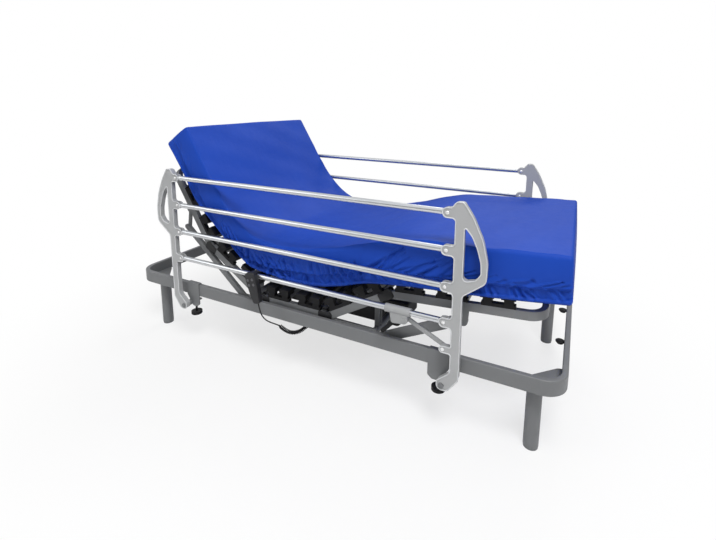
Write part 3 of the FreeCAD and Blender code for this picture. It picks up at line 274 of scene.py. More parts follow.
# what holds for every hard finish, and for those above and below that name no value of their own
hardLook = {"specular": 0.4, "coat": 0.0, "metallic": 0.0, "dust": 0.0, "variation": 0.12, "spread": 0.14,
            "coatRoughness": 0.25, "bumpDistance": 0.0004, "dustColour": (0.62, 0.60, 0.57, 1)}


def hardFinish(name, own):
    look = {**hardLook, **own}
    material, tree, shader = newMaterial(name)
    coords = objectCoords(tree)
    grain = place(tree, grainGroup, Scale=look["grain"], Colour=look["colour"], Variation=look["variation"],
                  Roughness=look["roughness"], Spread=look["spread"])
    tree.links.new(coords, grain.inputs["Coords"])
    colour = grain.outputs["Colour"]
    rough = grain.outputs["Roughness"]
    if look["dust"] > 0:
        dust = place(tree, dustGroup, Amount=look["dust"])
        tree.links.new(coords, dust.inputs["Coords"])
        tree.links.new(tree.nodes.new("ShaderNodeNewGeometry").outputs["Normal"], dust.inputs["Normal"])
        colour = colourMix(tree, dust.outputs["Mask"], colour, look["dustColour"])
        rough = calc(tree, "ADD", rough, dust.outputs["Mask"])
    tree.links.new(colour, shader.inputs["Base Color"])
    tree.links.new(rough, shader.inputs["Roughness"])
    shader.inputs["Metallic"].default_value = look["metallic"]
    shader.inputs["Coat Weight"].default_value = look["coat"]
    shader.inputs["Coat Roughness"].default_value = look["coatRoughness"]
    shader.inputs["Specular IOR Level"].default_value = look["specular"]
    bump = addBump(tree, grain.outputs["Height"], look["bumpDistance"], look["bump"])
    tree.links.new(bump, shader.inputs["Normal"])
    return material


steelLook = {"colour": (0.66, 0.67, 0.68, 1), "streaks": 0.16, "roughness": 0.30, "bumpDistance": 0.0002,
             "bump": 0.05}


def steelFinish():
    material, tree, shader = newMaterial("rail_steel")
    streaks = place(tree, brushedGroup, Amount=steelLook["streaks"], Roughness=steelLook["roughness"])
    tree.links.new(objectCoords(tree), streaks.inputs["Coords"])
    tree.links.new(streaks.outputs["Roughness"], shader.inputs["Roughness"])
    shader.inputs["Base Color"].default_value = steelLook["colour"]
    shader.inputs["Metallic"].default_value = 1.0
    bump = addBump(tree, streaks.outputs["Height"], steelLook["bumpDistance"], steelLook["bump"])
    tree.links.new(bump, shader.inputs["Normal"])
    return material


# cover cloth: saturated blue that hardly shines; its tone drifts slowly between two blues, with a
# fine bump from the weave and a coarse one from small crumples
coverLook = {
    "blue": (0.011, 0.064, 0.44, 1),
    "deep": (0.007, 0.048, 0.36, 1),
    "driftScale": 5.0,
    "roughness": 0.55,
    "roughScale": 40.0,
    "roughSpread": 0.12,
    "specular": 0.14,
    "threads": 3600.0,
    "weaveBump": (0.0002, 0.10),      # distance and strength
    "crumpleScale": 26.0,
    "crumpleBump": (0.004, 0.30),
}


def coverFinish():
    material, tree, shader = newMaterial("mattress_cover")
    coords = objectCoords(tree)
    drift = noise(tree, coords, coverLook["driftScale"], 4.0)
    tree.links.new(colourMix(tree, drift, coverLook["blue"], coverLook["deep"]), shader.inputs["Base Color"])
    patches = calc(tree, "SUBTRACT", noise(tree, coords, coverLook["roughScale"], 3.0), 0.5)
    rough = calc(tree, "MULTIPLY_ADD", patches, coverLook["roughSpread"], coverLook["roughness"])
    tree.links.new(rough, shader.inputs["Roughness"])
    shader.inputs["Specular IOR Level"].default_value = coverLook["specular"]
    weave = place(tree, weaveGroup, Threads=coverLook["threads"])
    tree.links.new(tree.nodes.new("ShaderNodeUVMap").outputs[0], weave.inputs["Coords"])
    fine = addBump(tree, weave.outputs["Height"], *coverLook["weaveBump"])
    crumple = noise(tree, coords, coverLook["crumpleScale"], 5.0)
    coarse = addBump(tree, crumple, *coverLook["crumpleBump"], before=fine)
    tree.links.new(coarse, shader.inputs["Normal"])
    return material


materials = {name: hardFinish(name, look) for name, look in finishes.items()}
materials["rail_steel"] = steelFinish()
materials["mattress_cover"] = coverFinish()


def dress(item, material):
    item.data.materials.clear()
    item.data.materials.append(material)


slotOf = {row["node"]: row["material_slot"] for row in frame["record"]["subparts"]}
for name, item in nodes.items():
    dress(item, materials[slotOf[name]])
print("finishes given to the nodes")


# mesh helpers

# four corners of each quad of a grid, row after row; around joins the last column to the first
def quadCorners(rows, columns, closeAround):
    steps = columns if closeAround else columns - 1
    i, j = np.meshgrid(np.arange(rows - 1), np.arange(steps), indexing="ij")
    following = (j + 1) % columns
    return np.stack([i * columns + j, i * columns + following, (i + 1) * columns + following,
                     (i + 1) * columns + j], axis=-1).reshape(-1, 4)


# mesh from rows of points; caps close the first and last row with one face each
def gridMesh(name, points, uv=None, closeAround=False, capped=False):
    rows, columns = points.shape[:2]
    faces = quadCorners(rows, columns, closeAround).tolist()
    if capped:
        faces.append(list(range(columns))[::-1])
        faces.append(list(range((rows - 1) * columns, rows * columns)))
    mesh = bpy.data.meshes.new(name)
    mesh.from_pydata(points.reshape(-1, 3).tolist(), [], faces)
    if uv is not None:
        layer = mesh.uv_layers.new(name="clothLength")
        corners = np.zeros(len(mesh.loops), dtype=np.int32)
        mesh.loops.foreach_get("vertex_index", corners)
        layer.data.foreach_set("uv", uv.reshape(-1, 2)[corners].astype(np.float32).ravel())
    mesh.update()
    return mesh


# mesh of the same closed shell at several places; one face closes its first and its last row
def shellMesh(name, shell, places):
    rows, columns = shell.shape[:2]
    spots = np.concatenate([shell.reshape(-1, 3) + np.array(place) for place in places])
    starts = np.arange(len(places))[:, None, None] * rows * columns
    quads = (quadCorners(rows, columns, True)[None] + starts).reshape(-1, 4).tolist()
    first = (np.arange(columns)[::-1][None] + starts[:, 0]).tolist()
    last = (np.arange((rows - 1) * columns, rows * columns)[None] + starts[:, 0]).tolist()
    mesh = bpy.data.meshes.new(name)
    mesh.from_pydata(spots.tolist(), [], quads + first + last)
    return mesh


def addObject(name, mesh):
    item = bpy.data.objects.new(name, mesh)
    bpy.context.scene.collection.objects.link(item)
    mesh.polygons.foreach_set("use_smooth", np.ones(len(mesh.polygons), dtype=bool))
    return item


# curve through the knots: each span is a cubic whose end slopes are those of the neighbours' chords
def smoothCurve(knots, samples):
    knots = np.asarray(knots, float)
    chord = np.concatenate([[0], np.cumsum(np.linalg.norm(np.diff(knots, axis=0), axis=1))])
    slopes = np.gradient(knots, chord, axis=0)
    span = np.clip(np.searchsorted(chord, samples * chord[-1], side="right") - 1, 0, len(knots) - 2)
    width = (chord[span + 1] - chord[span])[:, None]
    part = ((samples * chord[-1] - chord[span])[:, None]) / width
    first, last = knots[span], knots[span + 1]
    slopeA, slopeB = slopes[span] * width, slopes[span + 1] * width
    return ((2 * part ** 3 - 3 * part ** 2 + 1) * first + (part ** 3 - 2 * part ** 2 + part) * slopeA
            + (3 * part ** 2 - 2 * part ** 3) * last + (part ** 3 - part ** 2) * slopeB)


# mattress in its cover

mattress = {
    "halfWidth": 0.441,
    # side edges seen from the near side, head end first: bottom and top, matched point for point
    "bottom": [(-0.714, 0.966), (-0.640, 0.846), (-0.560, 0.712), (-0.445, 0.604), (-0.350, 0.520),
               (-0.262, 0.456), (-0.150, 0.437), (-0.020, 0.430), (0.090, 0.436), (0.190, 0.458),
               (0.300, 0.492), (0.400, 0.508), (0.520, 0.520), (0.700, 0.534), (0.860, 0.550), (0.992, 0.566)],
    "top": [(-0.581, 1.048), (-0.510, 0.929), (-0.440, 0.812), (-0.368, 0.712), (-0.290, 0.636),
            (-0.205, 0.590), (-0.100, 0.577), (0.010, 0.584), (0.110, 0.600), (0.215, 0.624),
            (0.325, 0.660), (0.425, 0.686), (0.540, 0.699), (0.700, 0.708), (0.860, 0.716), (0.984, 0.722)],
    "nominal": 0.155,        # thickness that the section and the folds are drawn at
    "topRadius": 0.011,
    "bottomRadius": 0.014,
    "hemHeight": 0.30,       # share of the height where the cover's skirt tucks under
    "hemStep": 0.013,
    "hemBead": 0.0022,
    "bulge": 0.004,
    "rows": 460,
    "endRadius": 0.011,
    "crown": 0.003,
    "farSag": 0.018,
    "backSag": 0.5,          # share of the sag on the raised back
    "sideLimit": (0.4425, 0.4464),   # half width that no fold passes: under the hem, above it
    "limitEase": 0.0045,
    "furrowDepth": 1.05,     # a fold's furrow as a share of its ridge
    "cuts": [-0.390, -0.030, 0.275],  # mid back, mid seat and mid thigh, where the cover lies straight
    "lap": 0.988,            # size of the row that goes on under the next piece
}
# the cover's pieces, head end first; each names two bodies and a stretch for a bend between them, but the
# pieces are built fixed and the stretch is not used
mattressPieces = {
    "mattressHead": {"bodies": ("head", "back"), "standsFor": ["mattress_head"],
                     "bend": ((-0.600, 0, 0.740), (-0.455, 0, 0.600))},
    "mattressBack": {"bodies": ("back", "base"), "standsFor": ["mattress_back"],
                     "bend": ((-0.330, 0, 0.520), (-0.090, 0, 0.470))},
    "mattressSeat": {"bodies": ("base", "thigh"), "standsFor": ["mattress_seat"],
                     "bend": ((0.030, 0, 0.460), (0.240, 0, 0.520))},
    "mattressFoot": {"bodies": ("thigh", "calf"), "standsFor": ["mattress_thigh", "mattress_calf"],
                     "bend": ((0.310, 0, 0.560), (0.500, 0, 0.600))},
}


# section round the mattress, a rectangle with quarter-circle corners: y, share of the height from 0
# to 1, and 1 on a side, less on a corner and 0 on the top and bottom
def mattressRing():
    half = mattress["halfWidth"]
    low, high = mattress["bottomRadius"], mattress["topRadius"]
    nominal = mattress["nominal"]
    across = np.linspace(-1, 1, 40)
    upward = np.linspace(0, 1, 46)
    quarter = np.linspace(0, math.pi / 2, 9)[1:-1]
    sideZ = low + upward * (nominal - low - high)
    parts = [
        (across * (half - low), np.zeros(40), np.zeros(40)),
        (half - low + low * np.sin(quarter), low - low * np.cos(quarter), np.full(7, 0.4)),
        (np.full(46, half), sideZ, np.ones(46)),
        (half - high + high * np.cos(quarter), nominal - high + high * np.sin(quarter), np.full(7, 0.5)),
        (-across * (half - high), np.full(40, nominal), np.zeros(40)),
        (-(half - high + high * np.sin(quarter)), nominal - high + high * np.cos(quarter), np.full(7, 0.5)),
        (np.full(46, -half), sideZ[::-1], np.ones(46)),
        (-(half - low + low * np.cos(quarter)), low - low * np.sin(quarter), np.full(7, 0.4)),
    ]
    y, z, onSide = (np.concatenate([part[k] for part in parts]) for k in range(3))
    return y, z / nominal, onSide


# folds of the cover's sides: strokes spread from one length to another, each from a low height
# upwards (both as shares of the thickness), leaning towards the head; depth and width in metres
folds = {
    "hipLow": {"from": 0.52, "to": 0.86, "count": 15, "low": (0.04, 0.12), "rise": (0.22, 0.46),
               "lean": 0.070, "depth": 0.0100, "width": 0.0056, "seed": 3},
    "hipHigh": {"from": 0.56, "to": 0.92, "count": 11, "low": (0.30, 0.42), "rise": (0.16, 0.34),
                "lean": 0.055, "depth": 0.0072, "width": 0.0062, "seed": 5},
    "seatLow": {"from": 0.84, "to": 1.16, "count": 16, "low": (0.28, 0.34), "rise": (0.20, 0.42),
                "lean": 0.030, "depth": 0.0080, "width": 0.0062, "seed": 8},
    "thigh": {"from": 1.16, "to": 1.46, "count": 12, "low": (0.30, 0.40), "rise": (0.22, 0.44),
              "lean": -0.085, "depth": 0.0078, "width": 0.0070, "seed": 9},
    "calfHem": {"from": 1.44, "to": 2.00, "count": 15, "low": (0.26, 0.34), "rise": (0.06, 0.22),
                "lean": -0.070, "depth": 0.0064, "width": 0.0056, "seed": 12},
    "skirt": {"from": 0.60, "to": 2.02, "count": 46, "low": (0.02, 0.08), "rise": (0.14, 0.24),
              "lean": 0.022, "depth": 0.0062, "width": 0.0062, "seed": 14},
    "footCorner": {"from": 1.86, "to": 2.02, "count": 7, "low": (0.10, 0.30), "rise": (0.20, 0.40),
                   "lean": -0.030, "depth": 0.0090, "width": 0.0070, "seed": 21},
    "headEdge": {"from": 0.06, "to": 0.50, "count": 7, "low": (0.05, 0.30), "rise": (0.20, 0.50),
                 "lean": 0.060, "depth": 0.0016, "width": 0.0130, "seed": 25},
}


# bell-shaped ridge about the line from start to end: exp(-(distance / width) squared), where the
# width shrinks towards the end
def ridge(along, height, start, end, width):
    runX, runZ = end[0] - start[0], end[1] - start[1]
    share = ((along - start[0]) * runX + (height - start[1]) * runZ) / (runX ** 2 + runZ ** 2)
    share = np.clip(share, 0, 1)
    gap = (along - start[0] - share * runX) ** 2 + (height - start[1] - share * runZ) ** 2
    return np.exp(-gap / (width * (1.15 - 0.5 * share)) ** 2)


# sum of the strokes' ridges, each with a furrow beside it, and slow waves along the skirt
def foldHeight(along, height, offset):
    total = np.zeros_like(along)
    nominal = mattress["nominal"]
    for spec in folds.values():
        pick = np.random.default_rng(spec["seed"] + offset)
        places = np.linspace(spec["from"], spec["to"], spec["count"]) + pick.normal(0, 0.007, spec["count"])
        for spot in places:
            low = pick.uniform(*spec["low"]) * nominal
            high = low + pick.uniform(*spec["rise"]) * nominal
            lean = spec["lean"] * pick.uniform(0.5, 1.5)
            depth = spec["depth"] * pick.uniform(0.4, 1.2)
            width = spec["width"] * pick.uniform(0.7, 1.3)
            beside = spot + 1.7 * width
            furrow = ridge(along, height, (beside, low), (beside - lean, high), width)
            total += depth * ridge(along, height, (spot, low), (spot - lean, high), width)
            total -= mattress["furrowDepth"] * depth * furrow
    ripple = np.sin(along * 58 + 1.7 * np.sin(along * 21 + offset))
    return total + 0.0022 * ripple * np.exp(-((height - 0.03) / 0.03) ** 2)


# rows along the mattress, each its section stood between the bottom and the top curve and pushed out
# by bulge, hem and folds; with the UV in metres and the length along the middle of each row
def mattressSurface():
    even = np.linspace(0, 1, mattress["rows"])
    tight = 0.006 * (1 - np.cos(np.linspace(0, math.pi / 2, 10)))[:-1]
    share = np.unique(np.concatenate([tight, even[(even > 0.0062) & (even < 0.9938)], 1 - tight]))
    rows = len(share)
    bottom = smoothCurve(mattress["bottom"], share)
    top = smoothCurve(mattress["top"], share)
    middle = (bottom + top) / 2
    length = np.concatenate([[0], np.cumsum(np.linalg.norm(np.diff(middle, axis=0), axis=1))])
    up = top - bottom
    thickness = np.linalg.norm(up, axis=1)
    up = up / thickness[:, None]
    ringY, ringH, onSide = mattressRing()
    columns = len(ringY)
    along = np.repeat(length[:, None], columns, axis=1)
    heights = ringH[None, :] * thickness[:, None]
    drawnHeights = ringH[None, :] * mattress["nominal"] * np.ones_like(along)
    side = np.sign(ringY)[None, :]
    # the skirt's hem rises and falls a little along the side; below it the cover lies further in
    hem = mattress["hemHeight"] + 0.035 * np.sin(along * 7.0 + 0.6) + 0.012 * np.sin(along * 31.0)
    tuck = 1 / (1 + np.exp((ringH[None, :] - hem) / 0.010))
    bead = np.exp(-((ringH[None, :] - hem - 0.03) / 0.022) ** 2)
    bulge = np.sin(np.pi * np.clip((ringH[None, :] - hem) / (1 - hem), 0, 1))
    onHead = np.clip((length - 0.02) / 0.10, 0, 1)[:, None]
    out = np.repeat(ringY[None, :], rows, axis=0).astype(float)
    shape = mattress["bulge"] * bulge + mattress["hemBead"] * bead - mattress["hemStep"] * tuck * onHead
    near = foldHeight(along, drawnHeights, 0)
    far = foldHeight(along, drawnHeights, 100)
    endFade = np.clip(np.minimum(length, length[-1] - length) / 0.02, 0, 1)[:, None]
    out += side * onSide[None, :] * (shape + np.where(side < 0, near, far) * endFade)
    # folds that would reach the rails are pressed flat: past the start, start + ease * tanh(excess / ease)
    low, high = mattress["sideLimit"]
    ease = mattress["limitEase"]
    start = high - (high - low) * tuck - ease
    excess = np.clip(np.abs(out) - start, 0, None) / ease
    out = np.sign(out) * (np.minimum(np.abs(out), start) + ease * np.tanh(excess))
    onTop = ringH[None, :] > 0.99
    crown = mattress["crown"] * (1 - (ringY / mattress["halfWidth"]) ** 2)[None, :]
    rumple = 0.0014 * np.sin(along * 17 + out * 8) + 0.0009 * np.sin(along * 43 - out * 19 + 2.0)
    # the top edge: a soft bead of the cover, and inside it a shallow furrow
    inset = np.abs(out) / mattress["halfWidth"]
    furrow = -0.0022 * np.exp(-((inset - 0.945) / 0.018) ** 2)
    # the top's far edge lies lower than the near one
    slope = np.clip((out + 0.20) / (mattress["halfWidth"] + 0.20), 0, 1)
    onSeat = np.clip((length - 0.55) / 0.20, 0, 1)[:, None]
    weight = mattress["backSag"] + (1 - mattress["backSag"]) * onSeat * onSeat * (3 - 2 * onSeat)
    upper = np.clip((ringH[None, :] - 0.3) / 0.7, 0, 1)
    sag = mattress["farSag"] * weight * slope * slope * (3 - 2 * slope) * upper
    lift = heights + np.where(onTop, crown + rumple + furrow, 0) - sag
    # rounded ends: within the end radius of an end, the section shrinks along a quarter circle
    for distance in (length, length[-1] - length):
        depth = np.clip(1 - distance / mattress["endRadius"], 0, 1)
        pull = mattress["endRadius"] * (1 - np.sqrt(np.clip(1 - depth ** 2, 0, 1)))
        half = thickness / 2
        lift = half[:, None] + (lift - half[:, None]) * (1 - pull / half)[:, None]
        out = out * (1 - pull / mattress["halfWidth"])[:, None]
    grid = np.zeros((rows, columns, 3))
    grid[..., 0] = bottom[:, 0][:, None] + up[:, 0][:, None] * lift
    grid[..., 2] = bottom[:, 1][:, None] + up[:, 1][:, None] * lift
    grid[..., 1] = out
    around = np.concatenate([[0], np.cumsum(np.hypot(np.diff(ringY), np.diff(ringH * mattress["nominal"])))])
    uv = np.stack([along, np.repeat(around[None, :], rows, axis=0)], axis=-1)
    return grid, uv, length


# rows that close an end: the ring shrunk by 0.96 of the share and moved out by depth * sin(share * 90 degrees)
def endCap(ring, inward, steps=5, depth=0.004):
    centre = ring.mean(axis=0)
    share = np.linspace(0, 1, steps + 1)[1:, None, None]
    return centre + (ring - centre) * (1 - 0.96 * share) - inward * depth * np.sin(share * math.pi / 2)


# rows past a piece's first or last one: where two pieces meet, each goes on under the other by one row
# that is a little smaller; at the mattress's own ends the rows close over the end face
def closingRows(grid, uv, row, step):
    following = row + step
    if 0 <= following < len(grid):
        centre = grid[following].mean(axis=0)
        return (centre + (grid[following] - centre) * mattress["lap"])[None], uv[following:following + 1]
    inward = (grid[row - 3 * step] - grid[row]).mean(axis=0)
    cap = endCap(grid[row], inward / np.linalg.norm(inward))
    return cap, np.repeat(uv[row:row + 1], len(cap), axis=0)


def buildMattress():
    grid, uv, length = mattressSurface()
    middleX = grid[..., 0].mean(axis=1)
    edges = [0] + [int(np.searchsorted(middleX, cut)) for cut in mattress["cuts"]] + [len(length) - 1]
    for (name, facts), start, stop in zip(mattressPieces.items(), edges[:-1], edges[1:]):
        before, uvBefore = closingRows(grid, uv, start, -1)
        after, uvAfter = closingRows(grid, uv, stop, 1)
        rows = np.concatenate([before[::-1], grid[start:stop + 1], after])
        rowsUv = np.concatenate([uvBefore, uv[start:stop + 1], uvAfter])
        item = addObject(name, gridMesh(name, rows, rowsUv, closeAround=True, capped=True))
        dress(item, materials["mattress_cover"])
        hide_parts(*facts["standsFor"])
        start, end = facts["bend"]
        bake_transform(item)


buildMattress()
print("mattress built")


# handset cord: a short straight lead, then a curly part that goes back into the drive

cord = {
    "wire": 0.0050,
    "outer": 0.0180,
    "pitch": 0.0062,
    "perTurn": 14,
    "swell": 0.008,          # length over which the coil grows to its full width
    "tail": 0.012,           # straight end, in the drive's gland
    "foldAxis": (0.793, 0, -0.608),
    "lead": [(-0.1681, -0.487, 0.3322), (-0.1609, -0.487, 0.3072), (-0.156, -0.485, 0.282),
             (-0.136, -0.481, 0.260), (-0.110, -0.472, 0.250), (-0.084, -0.458, 0.240)],
    "curl": [(-0.066, -0.4480, 0.2190), (-0.042, -0.433, 0.203), (-0.014, -0.411, 0.205),
             (0.008, -0.388, 0.226), (0.022, -0.358, 0.252), (0.032, -0.318, 0.268), (0.041, -0.270, 0.264),
             (0.050, -0.220, 0.243), (0.057, -0.170, 0.213), (0.060, -0.122, 0.186), (0.060, -0.074, 0.186)],
}


def routeSpline(name, points):
    curve = bpy.data.curves.new(name, "CURVE")
    curve.dimensions = "3D"
    spline = curve.splines.new("NURBS")
    spline.points.add(len(points) - 1)
    packed = np.ones((len(points), 4), dtype=np.float32)
    packed[:, :3] = points
    spline.points.foreach_set("co", packed.ravel())
    spline.order_u = 3
    spline.use_endpoint_u = True
    spline.resolution_u = 12
    return curve


def curveMesh(curve):
    item = bpy.data.objects.new("curveReader", curve)
    bpy.context.scene.collection.objects.link(item)
    mesh = bpy.data.meshes.new_from_object(item)
    bpy.data.objects.remove(item)
    return mesh


def splinePoints(curve):
    mesh = curveMesh(curve)
    read = np.zeros(len(mesh.vertices) * 3, dtype=np.float32)
    mesh.vertices.foreach_get("co", read)
    bpy.data.meshes.remove(mesh)
    return read.reshape(-1, 3).astype(float)


# two unit directions square to a line at each point: level, and upwards
def squareTo(line):
    ahead = np.gradient(line, axis=0)
    ahead /= np.linalg.norm(ahead, axis=1)[:, None]
    side = np.cross(ahead, np.array([0.0, 0.0, 1.0]))
    side /= np.linalg.norm(side, axis=1)[:, None]
    return side, np.cross(side, ahead)


# length along a line at each of its points
def lengthAlong(line):
    return np.concatenate([[0], np.cumsum(np.linalg.norm(np.diff(line, axis=0), axis=1))])


# the coil's line: route + radius * (cos(angle) * side + sin(angle) * up), one turn for each pitch;
# the radius grows over the first turns and shrinks over the last
def cordLine():
    route = splinePoints(routeSpline("cordRoute", cord["lead"] + cord["curl"]))
    steps = lengthAlong(route)
    leadEnd = steps[np.argmin(np.linalg.norm(route - np.array(cord["lead"][-1]), axis=1))]
    coilEnd = steps[-1] - cord["tail"]
    turns = (steps[-1] - leadEnd - cord["tail"]) / cord["pitch"]
    coil = np.linspace(leadEnd, coilEnd, int(turns * cord["perTurn"]))
    places = np.concatenate([np.linspace(0, leadEnd, 14)[:-1], coil, [steps[-1] - cord["tail"] / 2, steps[-1]]])
    line = np.stack([np.interp(places, steps, route[:, k]) for k in range(3)], axis=1)
    side, up = squareTo(line)
    angle = 2 * math.pi * np.clip(places - leadEnd, 0, coil[-1] - leadEnd) / cord["pitch"]
    swell = (np.clip((places - leadEnd) / cord["swell"], 0, 1)
             * np.clip((coil[-1] - places) / cord["swell"], 0, 1))
    radius = (cord["outer"] - cord["wire"]) / 2 * swell
    line = line + side * (radius * np.cos(angle))[:, None] + up * (radius * np.sin(angle))[:, None]
    line[0] = cord["lead"][0]
    print("cord route", round(steps[-1], 4), "lead", round(leadEnd, 4), "turns", round(turns, 1))
    return line


def buildCord():
    line = cordLine()
    curve = routeSpline("handsetCord", line)
    curve.bevel_depth = cord["wire"] / 2
    curve.bevel_resolution = 3
    curve.use_fill_caps = True
    curve.splines[0].resolution_u = 1
    mesh = curveMesh(curve)
    mesh.name = "handsetCord"
    item = addObject("handsetCord", mesh)
    dress(item, materials["cord_sheath"])
    centre = splinePoints(routeSpline("cordCentre", line))
    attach(item, "base")
    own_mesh(item)
    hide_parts("handset_cord")


buildCord()


# small parts on the rails: rims along the castings' edges, and rivet heads on their pins

rails = {
    "pivotHeight": 0.209,    # the uprights' pivots; the rises of the pins count from there
    "pinRises": [0.231, 0.3567, 0.4824, 0.6081],
    "braceRise": 0.134,
    "headPin": -0.630,
    "footPin": 0.614,
    "farShift": 0.110,
    "plane": 0.464,          # middle of a casting, on either side
    "halfThickness": 0.011,
    "rivetLift": 0.0008,
    "rimRadius": 0.0021,
    "rivetRadius": 0.0066,
    "rivetHeight": 0.0030,
}
detailLooks = {
    # the rim colour is paler than the casting's own paint: a painted highlight along the casting's edges
    "castingRim": {"colour": (0.60, 0.61, 0.62, 1), "roughness": 0.34, "grain": 900.0, "bump": 0.03,
                   "coat": 0.2, "dust": 0.02},
    "rivetMetal": {"colour": (0.80, 0.80, 0.80, 1), "roughness": 0.28, "grain": 900.0, "bump": 0.03,
                   "metallic": 0.3, "coat": 0.2},
}
for name, look in detailLooks.items():
    materials[name] = hardFinish(name, look)


# half-round bead along the outlines of a casting's flat outer face: the edges that only one face of
# that plane uses
def faceRim(node, outward, name, body):
    source = nodes[node].data
    count = len(source.vertices)
    spots = np.zeros(count * 3, dtype=np.float32)
    source.vertices.foreach_get("co", spots)
    spots = spots.reshape(-1, 3)
    level = outward * (rails["plane"] + rails["halfThickness"])
    onFace = np.abs(spots[:, 1] - level) < 0.0001
    sizes = np.zeros(len(source.polygons), dtype=np.int32)
    source.polygons.foreach_get("loop_total", sizes)
    corners = np.zeros(len(source.loops), dtype=np.int32)
    source.loops.foreach_get("vertex_index", corners)
    edges = np.zeros(len(source.edges) * 2, dtype=np.int32)
    source.edges.foreach_get("vertices", edges)
    edges = edges.reshape(-1, 2)
    loopEdges = np.zeros(len(source.loops), dtype=np.int32)
    source.loops.foreach_get("edge_index", loopEdges)
    owner = np.repeat(np.arange(len(sizes)), sizes)
    flat = np.bincount(owner, weights=onFace[corners], minlength=len(sizes)) == sizes
    flatUses = np.bincount(loopEdges, weights=flat[owner], minlength=len(edges))
    border = edges[(flatUses == 1) & onFace[edges].all(axis=1)]
    used, renumbered = np.unique(border, return_inverse=True)
    mesh = bpy.data.meshes.new(name)
    mesh.from_pydata(spots[used].tolist(), renumbered.reshape(-1, 2).tolist(), [])
    item = bpy.data.objects.new(name, mesh)
    bpy.context.scene.collection.objects.link(item)
    for other in bpy.context.selected_objects:
        other.select_set(False)
    item.select_set(True)
    bpy.context.view_layer.objects.active = item
    bpy.ops.object.convert(target="CURVE")
    item.data.bevel_depth = rails["rimRadius"]
    item.data.bevel_resolution = 2
    bpy.ops.object.convert(target="MESH")
    item = bpy.context.view_layer.objects.active
    item.name = name
    item.data.polygons.foreach_set("use_smooth", np.ones(len(item.data.polygons), dtype=bool))
    # the bead is dressed paler than the casting: a painted highlight along its edge
    dress(item, materials["castingRim"])
    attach(item, body)


# rows of a low dome about the Y axis: a quarter ellipse turned round, closed below by a flat base
def domeRows(radius, height, steps=6, around=20):
    rise = np.linspace(0, math.pi / 2, steps)
    tip = [radius * 0.02]
    reach = np.concatenate([tip, [radius], radius * np.cos(rise[1:-1]), tip])
    level = np.concatenate([[0, 0], height * np.sin(rise[1:-1]), [height]])
    turn = np.linspace(0, 2 * math.pi, around, endpoint=False)
    return np.stack([reach[:, None] * np.cos(turn), np.repeat(level[:, None], around, axis=1),
                     reach[:, None] * np.sin(turn)], axis=-1)


# one piece of several domes that stand out along Y
def rivetSet(name, body, places, outward):
    dome = domeRows(rails["rivetRadius"], rails["rivetHeight"])
    # turned the other way round, the faces point out on the +Y side; mirrored, they do on the other
    dome = dome[:, ::-1] if outward > 0 else dome * np.array([1, -1, 1])
    item = addObject(name, shellMesh(name, dome, places))
    dress(item, materials["rivetMetal"])
    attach(item, body)


def buildRailTrim():
    for side, sign, shift in (("near", -1, 0.0), ("far", 1, rails["farShift"])):
        for end, pinX in (("head", rails["headPin"]), ("foot", rails["footPin"])):
            node = "%s_%s_upright" % (side, end)
            body = "%s_%s_post" % (side, end)
            title = side + end.capitalize()
            for face, outward in (("Out", sign), ("In", -sign)):
                level = sign * rails["plane"] + outward * (rails["halfThickness"] + rails["rivetLift"])
                rises = list(rails["pinRises"])
                if end == "foot" and face == "Out":
                    rises.append(rails["braceRise"])
                places = [(pinX + shift, level, rails["pivotHeight"] + rise) for rise in rises]
                rivetSet(title + "Rivets" + face, body, places, outward)
            faceRim(node, sign, title + "Rim", body)


buildRailTrim()
print("rail trim built")


# two round buffers on the inner side of the foot beam, seen under the mattress's end

buffers = {
    "places": [(0.966, -0.132, 0), (0.966, 0.132, 0)],
    "profile": [(0.0001, 0.2760), (0.0110, 0.2760), (0.0110, 0.2815), (0.0160, 0.2820), (0.0166, 0.2835),
                (0.0166, 0.2860), (0.0150, 0.2875), (0.0001, 0.2875)],
    "columns": 28,
}


# profile of (radius, height) turned once round an upright line through each place
def buildBuffers():
    radius, height = np.array(buffers["profile"]).T
    turn = np.linspace(0, 2 * math.pi, buffers["columns"], endpoint=False)
    shell = np.stack([radius[:, None] * np.cos(turn), radius[:, None] * np.sin(turn),
                      np.repeat(height[:, None], buffers["columns"], axis=1)], axis=-1)
    item = addObject("footBuffers", shellMesh("footBuffers", shell, buffers["places"]))
    dress(item, materials["black_plastic"])
    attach(item, "base")


buildBuffers()
print("buffers built")


# floor, light and background

studio = {
    "floorColour": (0.93, 0.93, 0.93, 1),
    "floorRoughness": 0.7,
    "floorReach": 14.0,
    "floorVeil": 0.70,       # share of plain white that the camera sees under the bed
    "floorFade": (0.9, 1.9),  # distances between which it turns to plain white
    "skyStrength": 0.42,
    "mirrorSpan": (-0.1, 0.8),
    "mirrorLow": (0.16, 0.17, 0.18, 1),
    "mirrorHigh": (0.80, 0.82, 0.85, 1),
    "key": {"place": (1.8, -2.2, 4.2), "size": 1.6, "power": 150, "aim": (0.0, 0.0, 0.5)},
    "fill": {"place": (-2.8, -2.8, 2.6), "size": 2.4, "power": 30, "aim": (0.0, 0.0, 0.5)},
    "back": {"place": (0.2, 3.2, 3.8), "size": 2.6, "power": 60, "aim": (0.0, 0.0, 0.6)},
}


def addLamp(name, look):
    data = bpy.data.lights.new(name, "AREA")
    data.energy = look["power"]
    data.size = look["size"]
    item = bpy.data.objects.new(name, data)
    bpy.context.scene.collection.objects.link(item)
    item.location = look["place"]
    toward = np.array(look["aim"]) - np.array(look["place"])
    yaw = math.atan2(toward[1], toward[0]) - math.pi / 2
    pitch = math.atan2(math.hypot(toward[0], toward[1]), -toward[2])
    item.rotation_euler = (pitch, 0, yaw)


